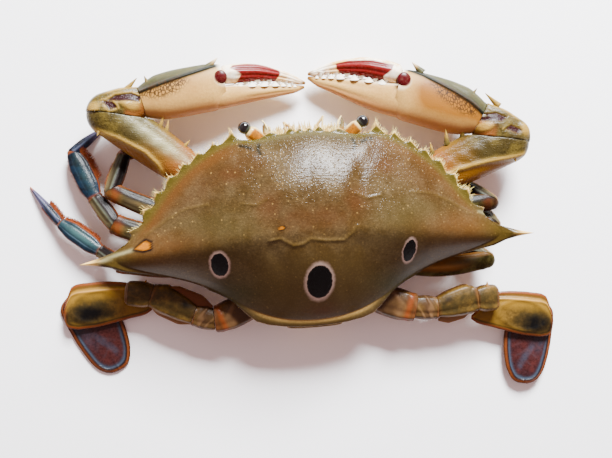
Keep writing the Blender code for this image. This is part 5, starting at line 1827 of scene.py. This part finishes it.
class BellySettings(bpy.types.PropertyGroup):
    """Colours of the underside."""

    bone: colour("Bone", "Breastplate and tail flap", "CAA85C")
    blush: colour("Blush", "Warm shades between the plates", "7D512D")


class CRAB_OT_belly(bpy.types.Operator):
    """Breastplate with its plates, the folded tail flap and the outer jaws"""

    bl_idname = "crab.belly"
    bl_label = "Underside"

    def execute(self, context):
        s = context.scene.crab_belly
        bone = finish(
            "belly_shell", s.bone, tint("94753F"),
            [("dusk", tint("4A3818"), 0.5, 0.4), ("blush", s.blush, 0.4, 0.5),
                ("dark", tint("382718"), 0.4, 0.8)],
            grain=0.6, wrinkles=0.6, bump=0.04, rough=(0.35, 0.5), coat=0.2, scale=0.15, sub=0.1,
        )
        corners = np.array(BREAST + [(-x, y) for x, y in reversed(BREAST[1:-1])], float)
        outline = refine(corners, 14)
        rings = []
        for size, z in ((0.05, 2.0), (0.2, 2.0), (0.35, 2.0), (0.5, 2.05), (0.62, 2.1), (0.72, 2.2),
            (0.8, 2.35), (0.86, 2.6), (0.92, 3.1),
                        (0.965, 3.8), (0.99, 4.8), (1.0, 6.0), (1.0, 9.0), (1.0, 11.9), (0.5, 11.9),
                        (0.05, 11.9)):
            rings.append(np.stack((outline[:, 0] * size, 4 + (outline[:, 1] - 4) * size,
                np.full(len(outline), z)), -1))
        points = np.stack(rings)
        low = ramp(points[..., 2], 6.0, 3.0)
        seams = most(*[stroke(points, line, 0.5) for line in [
            [(0, y0), (side * 19, y1)]
            for y0, y1 in ((-6, -8.0), (-0.5, -1.0), (4.5, 6.0), (9.0, 12.5), (14, 18.5))
                for side in (1, -1)]]) * low
        points[..., 2] += 0.5 * seams * ramp(np.abs(points[..., 0]), 3, 6)
        marks = {"blush": 0.8 * seams, "dark": 0.4 * bell(seams, 1.0, 0.15) * low}
        plate = {"points": points, "masks": marks}
        seat(build("breastplate_shell", [plate], bone), "underside_bone", "breastplate")
        path = np.array(TAIL_PATH, float)
        steps = np.linspace(0, 1, 90)
        keys = np.linspace(0, 1, len(path))
        line = np.stack([ease(keys, path[:, c], steps) for c in range(3)], -1)
        way = np.gradient(line[:, :2], axis=0)
        way /= np.linalg.norm(way, axis=1)[:, None]
        rings, marks = [], []
        seam_at = np.zeros(len(steps))
        for k in (0.1, 0.24, 0.38, 0.52, 0.68, 0.86):
            seam_at = np.maximum(seam_at, bell(steps, k, 0.012))
        turn = np.linspace(0, 2 * math.pi, 64, endpoint=False)
        for (y, z, half), (wy, wz), seam in zip(line, way, seam_at):
            a = np.copysign(np.abs(np.cos(turn)) ** 0.85, np.cos(turn)) * half * (1 - 0.03 * seam)
            u = np.copysign(np.abs(np.sin(turn)) ** 0.7, np.sin(turn)) * (0.83 - 0.22 * seam)
            rings.append(np.stack((a, y - wz * u, np.maximum(z + wy * u, 0.0)), -1))
            marks.append(np.full(64, seam))
        bend = ramp(steps, 0.16, 0.06)[:, None] * np.ones(64)  # the part that shows behind the back shell
        tail = {"points": np.stack(rings), "masks": {"dusk": 0.8 * bend, "blush": np.stack(marks) * 0.9}}
        seat(build("tail_flap_shell", [tail], bone), "underside_bone", "tail_flap")
        jaw = [(0.0, 3.0, 0.9, 0), (0.1, 3.3, 1.1, 0), (0.5, 3.5, 1.1, 0), (0.9, 3.3, 1.1, 0),
            (1.0, 2.6, 0.8, 0)]
        for tag, side in SIDES.items():
            form = limb_form(
                jaw, (side * 3.75, -13.4, 5.0), (side * 3.75, -26.2, 8.6), side, (0, 0), rows=70,
                sides=64, power=3.0,
                relief=lambda t, f, r, a: -0.25 * bell(f, 0.35, 0.08) * (np.abs(r) > 0.5)
                - 0.3 * bell(t, 0.62, 0.02),
            )
            form["masks"]["blush"] = most(0.7 * bell(form["front"], 0.35, 0.12),
                0.8 * bell(form["share"], 0.62, 0.04))
            seat(build(f"jaw_{tag}_shell", [form], bone), "underside_bone", f"jaw_{tag}")
        return {"FINISHED"}


# Stage


class StageSettings(bpy.types.PropertyGroup):
    """Camera, lights and floor."""

    height: FloatProperty(name="Camera height", description="From the back of the crab to the camera",
        default=0.29, unit="LENGTH")
    tilt: FloatProperty(name="Tilt", description="Camera's lean to the crab's left",
        default=math.radians(6), subtype="ANGLE")
    roll: FloatProperty(name="Roll", description="Camera's turn about its own axis",
        default=math.radians(3.93), subtype="ANGLE")
    floor: colour("Floor", "Plain pale floor", "F7F7F9")


class CRAB_OT_stage(bpy.types.Operator):
    """Pale floor, soft lights and the camera above the crab"""

    bl_idname = "crab.stage"
    bl_label = "Stage"

    def execute(self, context):
        s = context.scene.crab_stage
        back = Vector((math.sin(s.tilt), 0, math.cos(s.tilt)))
        up = Vector((0, -1, 0))
        right = up.cross(back)
        turned_right = right * math.cos(s.roll) - up * math.sin(s.roll)
        turned_up = right * math.sin(s.roll) + up * math.cos(s.roll)
        camera = show("camera", bpy.data.cameras.new("camera"))
        camera.data.lens = 54
        camera.data.sensor_width = 36
        camera.data.shift_x, camera.data.shift_y = -6.5 / PHOTO_WIDTH, -1 / PHOTO_WIDTH
        camera.data.clip_start = 0.01
        matrix = camera.matrix_world.copy()
        for i in range(3):
            matrix[i][0], matrix[i][1], matrix[i][2] = turned_right[i], turned_up[i], back[i]
            matrix[i][3] = (Vector((-0.0009, 0, 0.015)) + back * s.height)[i]
        camera.matrix_world = matrix
        context.scene.camera = camera
        mesh = bpy.data.meshes.new("floor")
        mesh.from_pydata([(-4, -4, 0), (4, -4, 0), (4, 4, 0), (-4, 4, 0)], [], [(0, 1, 2, 3)])
        paint = bpy.data.materials.new("floor")
        paint.use_nodes = True
        paint.node_tree.nodes["Principled BSDF"].inputs["Base Color"].default_value = (*s.floor, 1)
        paint.node_tree.nodes["Principled BSDF"].inputs["Roughness"].default_value = 0.7
        mesh.materials.append(paint)
        floor = show("floor", mesh)
        for name, place, size, power in (
            ("key_light", (-0.21, -0.68, 0.5), 0.32, 60.0),
            ("side_light", (0.75, -0.3, 0.5), 0.9, 1.2),
        ):
            light = bpy.data.lights.new(name, "AREA")
            light.size = size
            light.energy = power
            light.color = (0.94, 0.975, 1.0) if name == "key_light" else (1.0, 0.9, 0.88)
            lamp = show(name, light)
            lamp.location = place
            lamp.rotation_euler = (-Vector(place)).to_track_quat("-Z", "Y").to_euler()
        world = bpy.data.worlds.new("studio")
        world.use_nodes = True
        world.node_tree.nodes["Background"].inputs["Color"].default_value = (1.0, 0.66, 0.64, 1)
        world.node_tree.nodes["Background"].inputs["Strength"].default_value = 0.65
        context.scene.world = world
        return {"FINISHED"}


# Main

SETTINGS = {
    "crab_shell": ShellSettings,
    "crab_claws": ClawSettings,
    "crab_legs": LegSettings,
    "crab_face": FaceSettings,
    "crab_belly": BellySettings,
    "crab_stage": StageSettings,
}
STEPS = [
    CRAB_OT_stage, CRAB_OT_shell, CRAB_OT_claws, CRAB_OT_legs, CRAB_OT_oars, CRAB_OT_face, CRAB_OT_belly,
]


class CRAB_PT_panel(bpy.types.Panel):
    """Steps and settings of the crab"""

    bl_label = "Swimming crab"
    bl_idname = "CRAB_PT_panel"
    bl_space_type = "VIEW_3D"
    bl_region_type = "UI"
    bl_category = "Crab"

    def draw(self, context):
        for step in STEPS:
            self.layout.operator(step.bl_idname)
        for name, kind in SETTINGS.items():
            box = self.layout.box()
            for prop in kind.__annotations__:
                box.prop(getattr(context.scene, name), prop)


def register():
    for kind in (*SETTINGS.values(), *STEPS, CRAB_PT_panel):
        bpy.utils.register_class(kind)
    for name, kind in SETTINGS.items():
        setattr(bpy.types.Scene, name, PointerProperty(type=kind))


def unregister():
    for name in SETTINGS:
        delattr(bpy.types.Scene, name)
    for kind in reversed((*SETTINGS.values(), *STEPS, CRAB_PT_panel)):
        bpy.utils.unregister_class(kind)


def main():
    register()
    for step in STEPS:
        group, action = step.bl_idname.split(".")
        getattr(getattr(bpy.ops, group), action)()


if __name__ == "__main__":
    main()
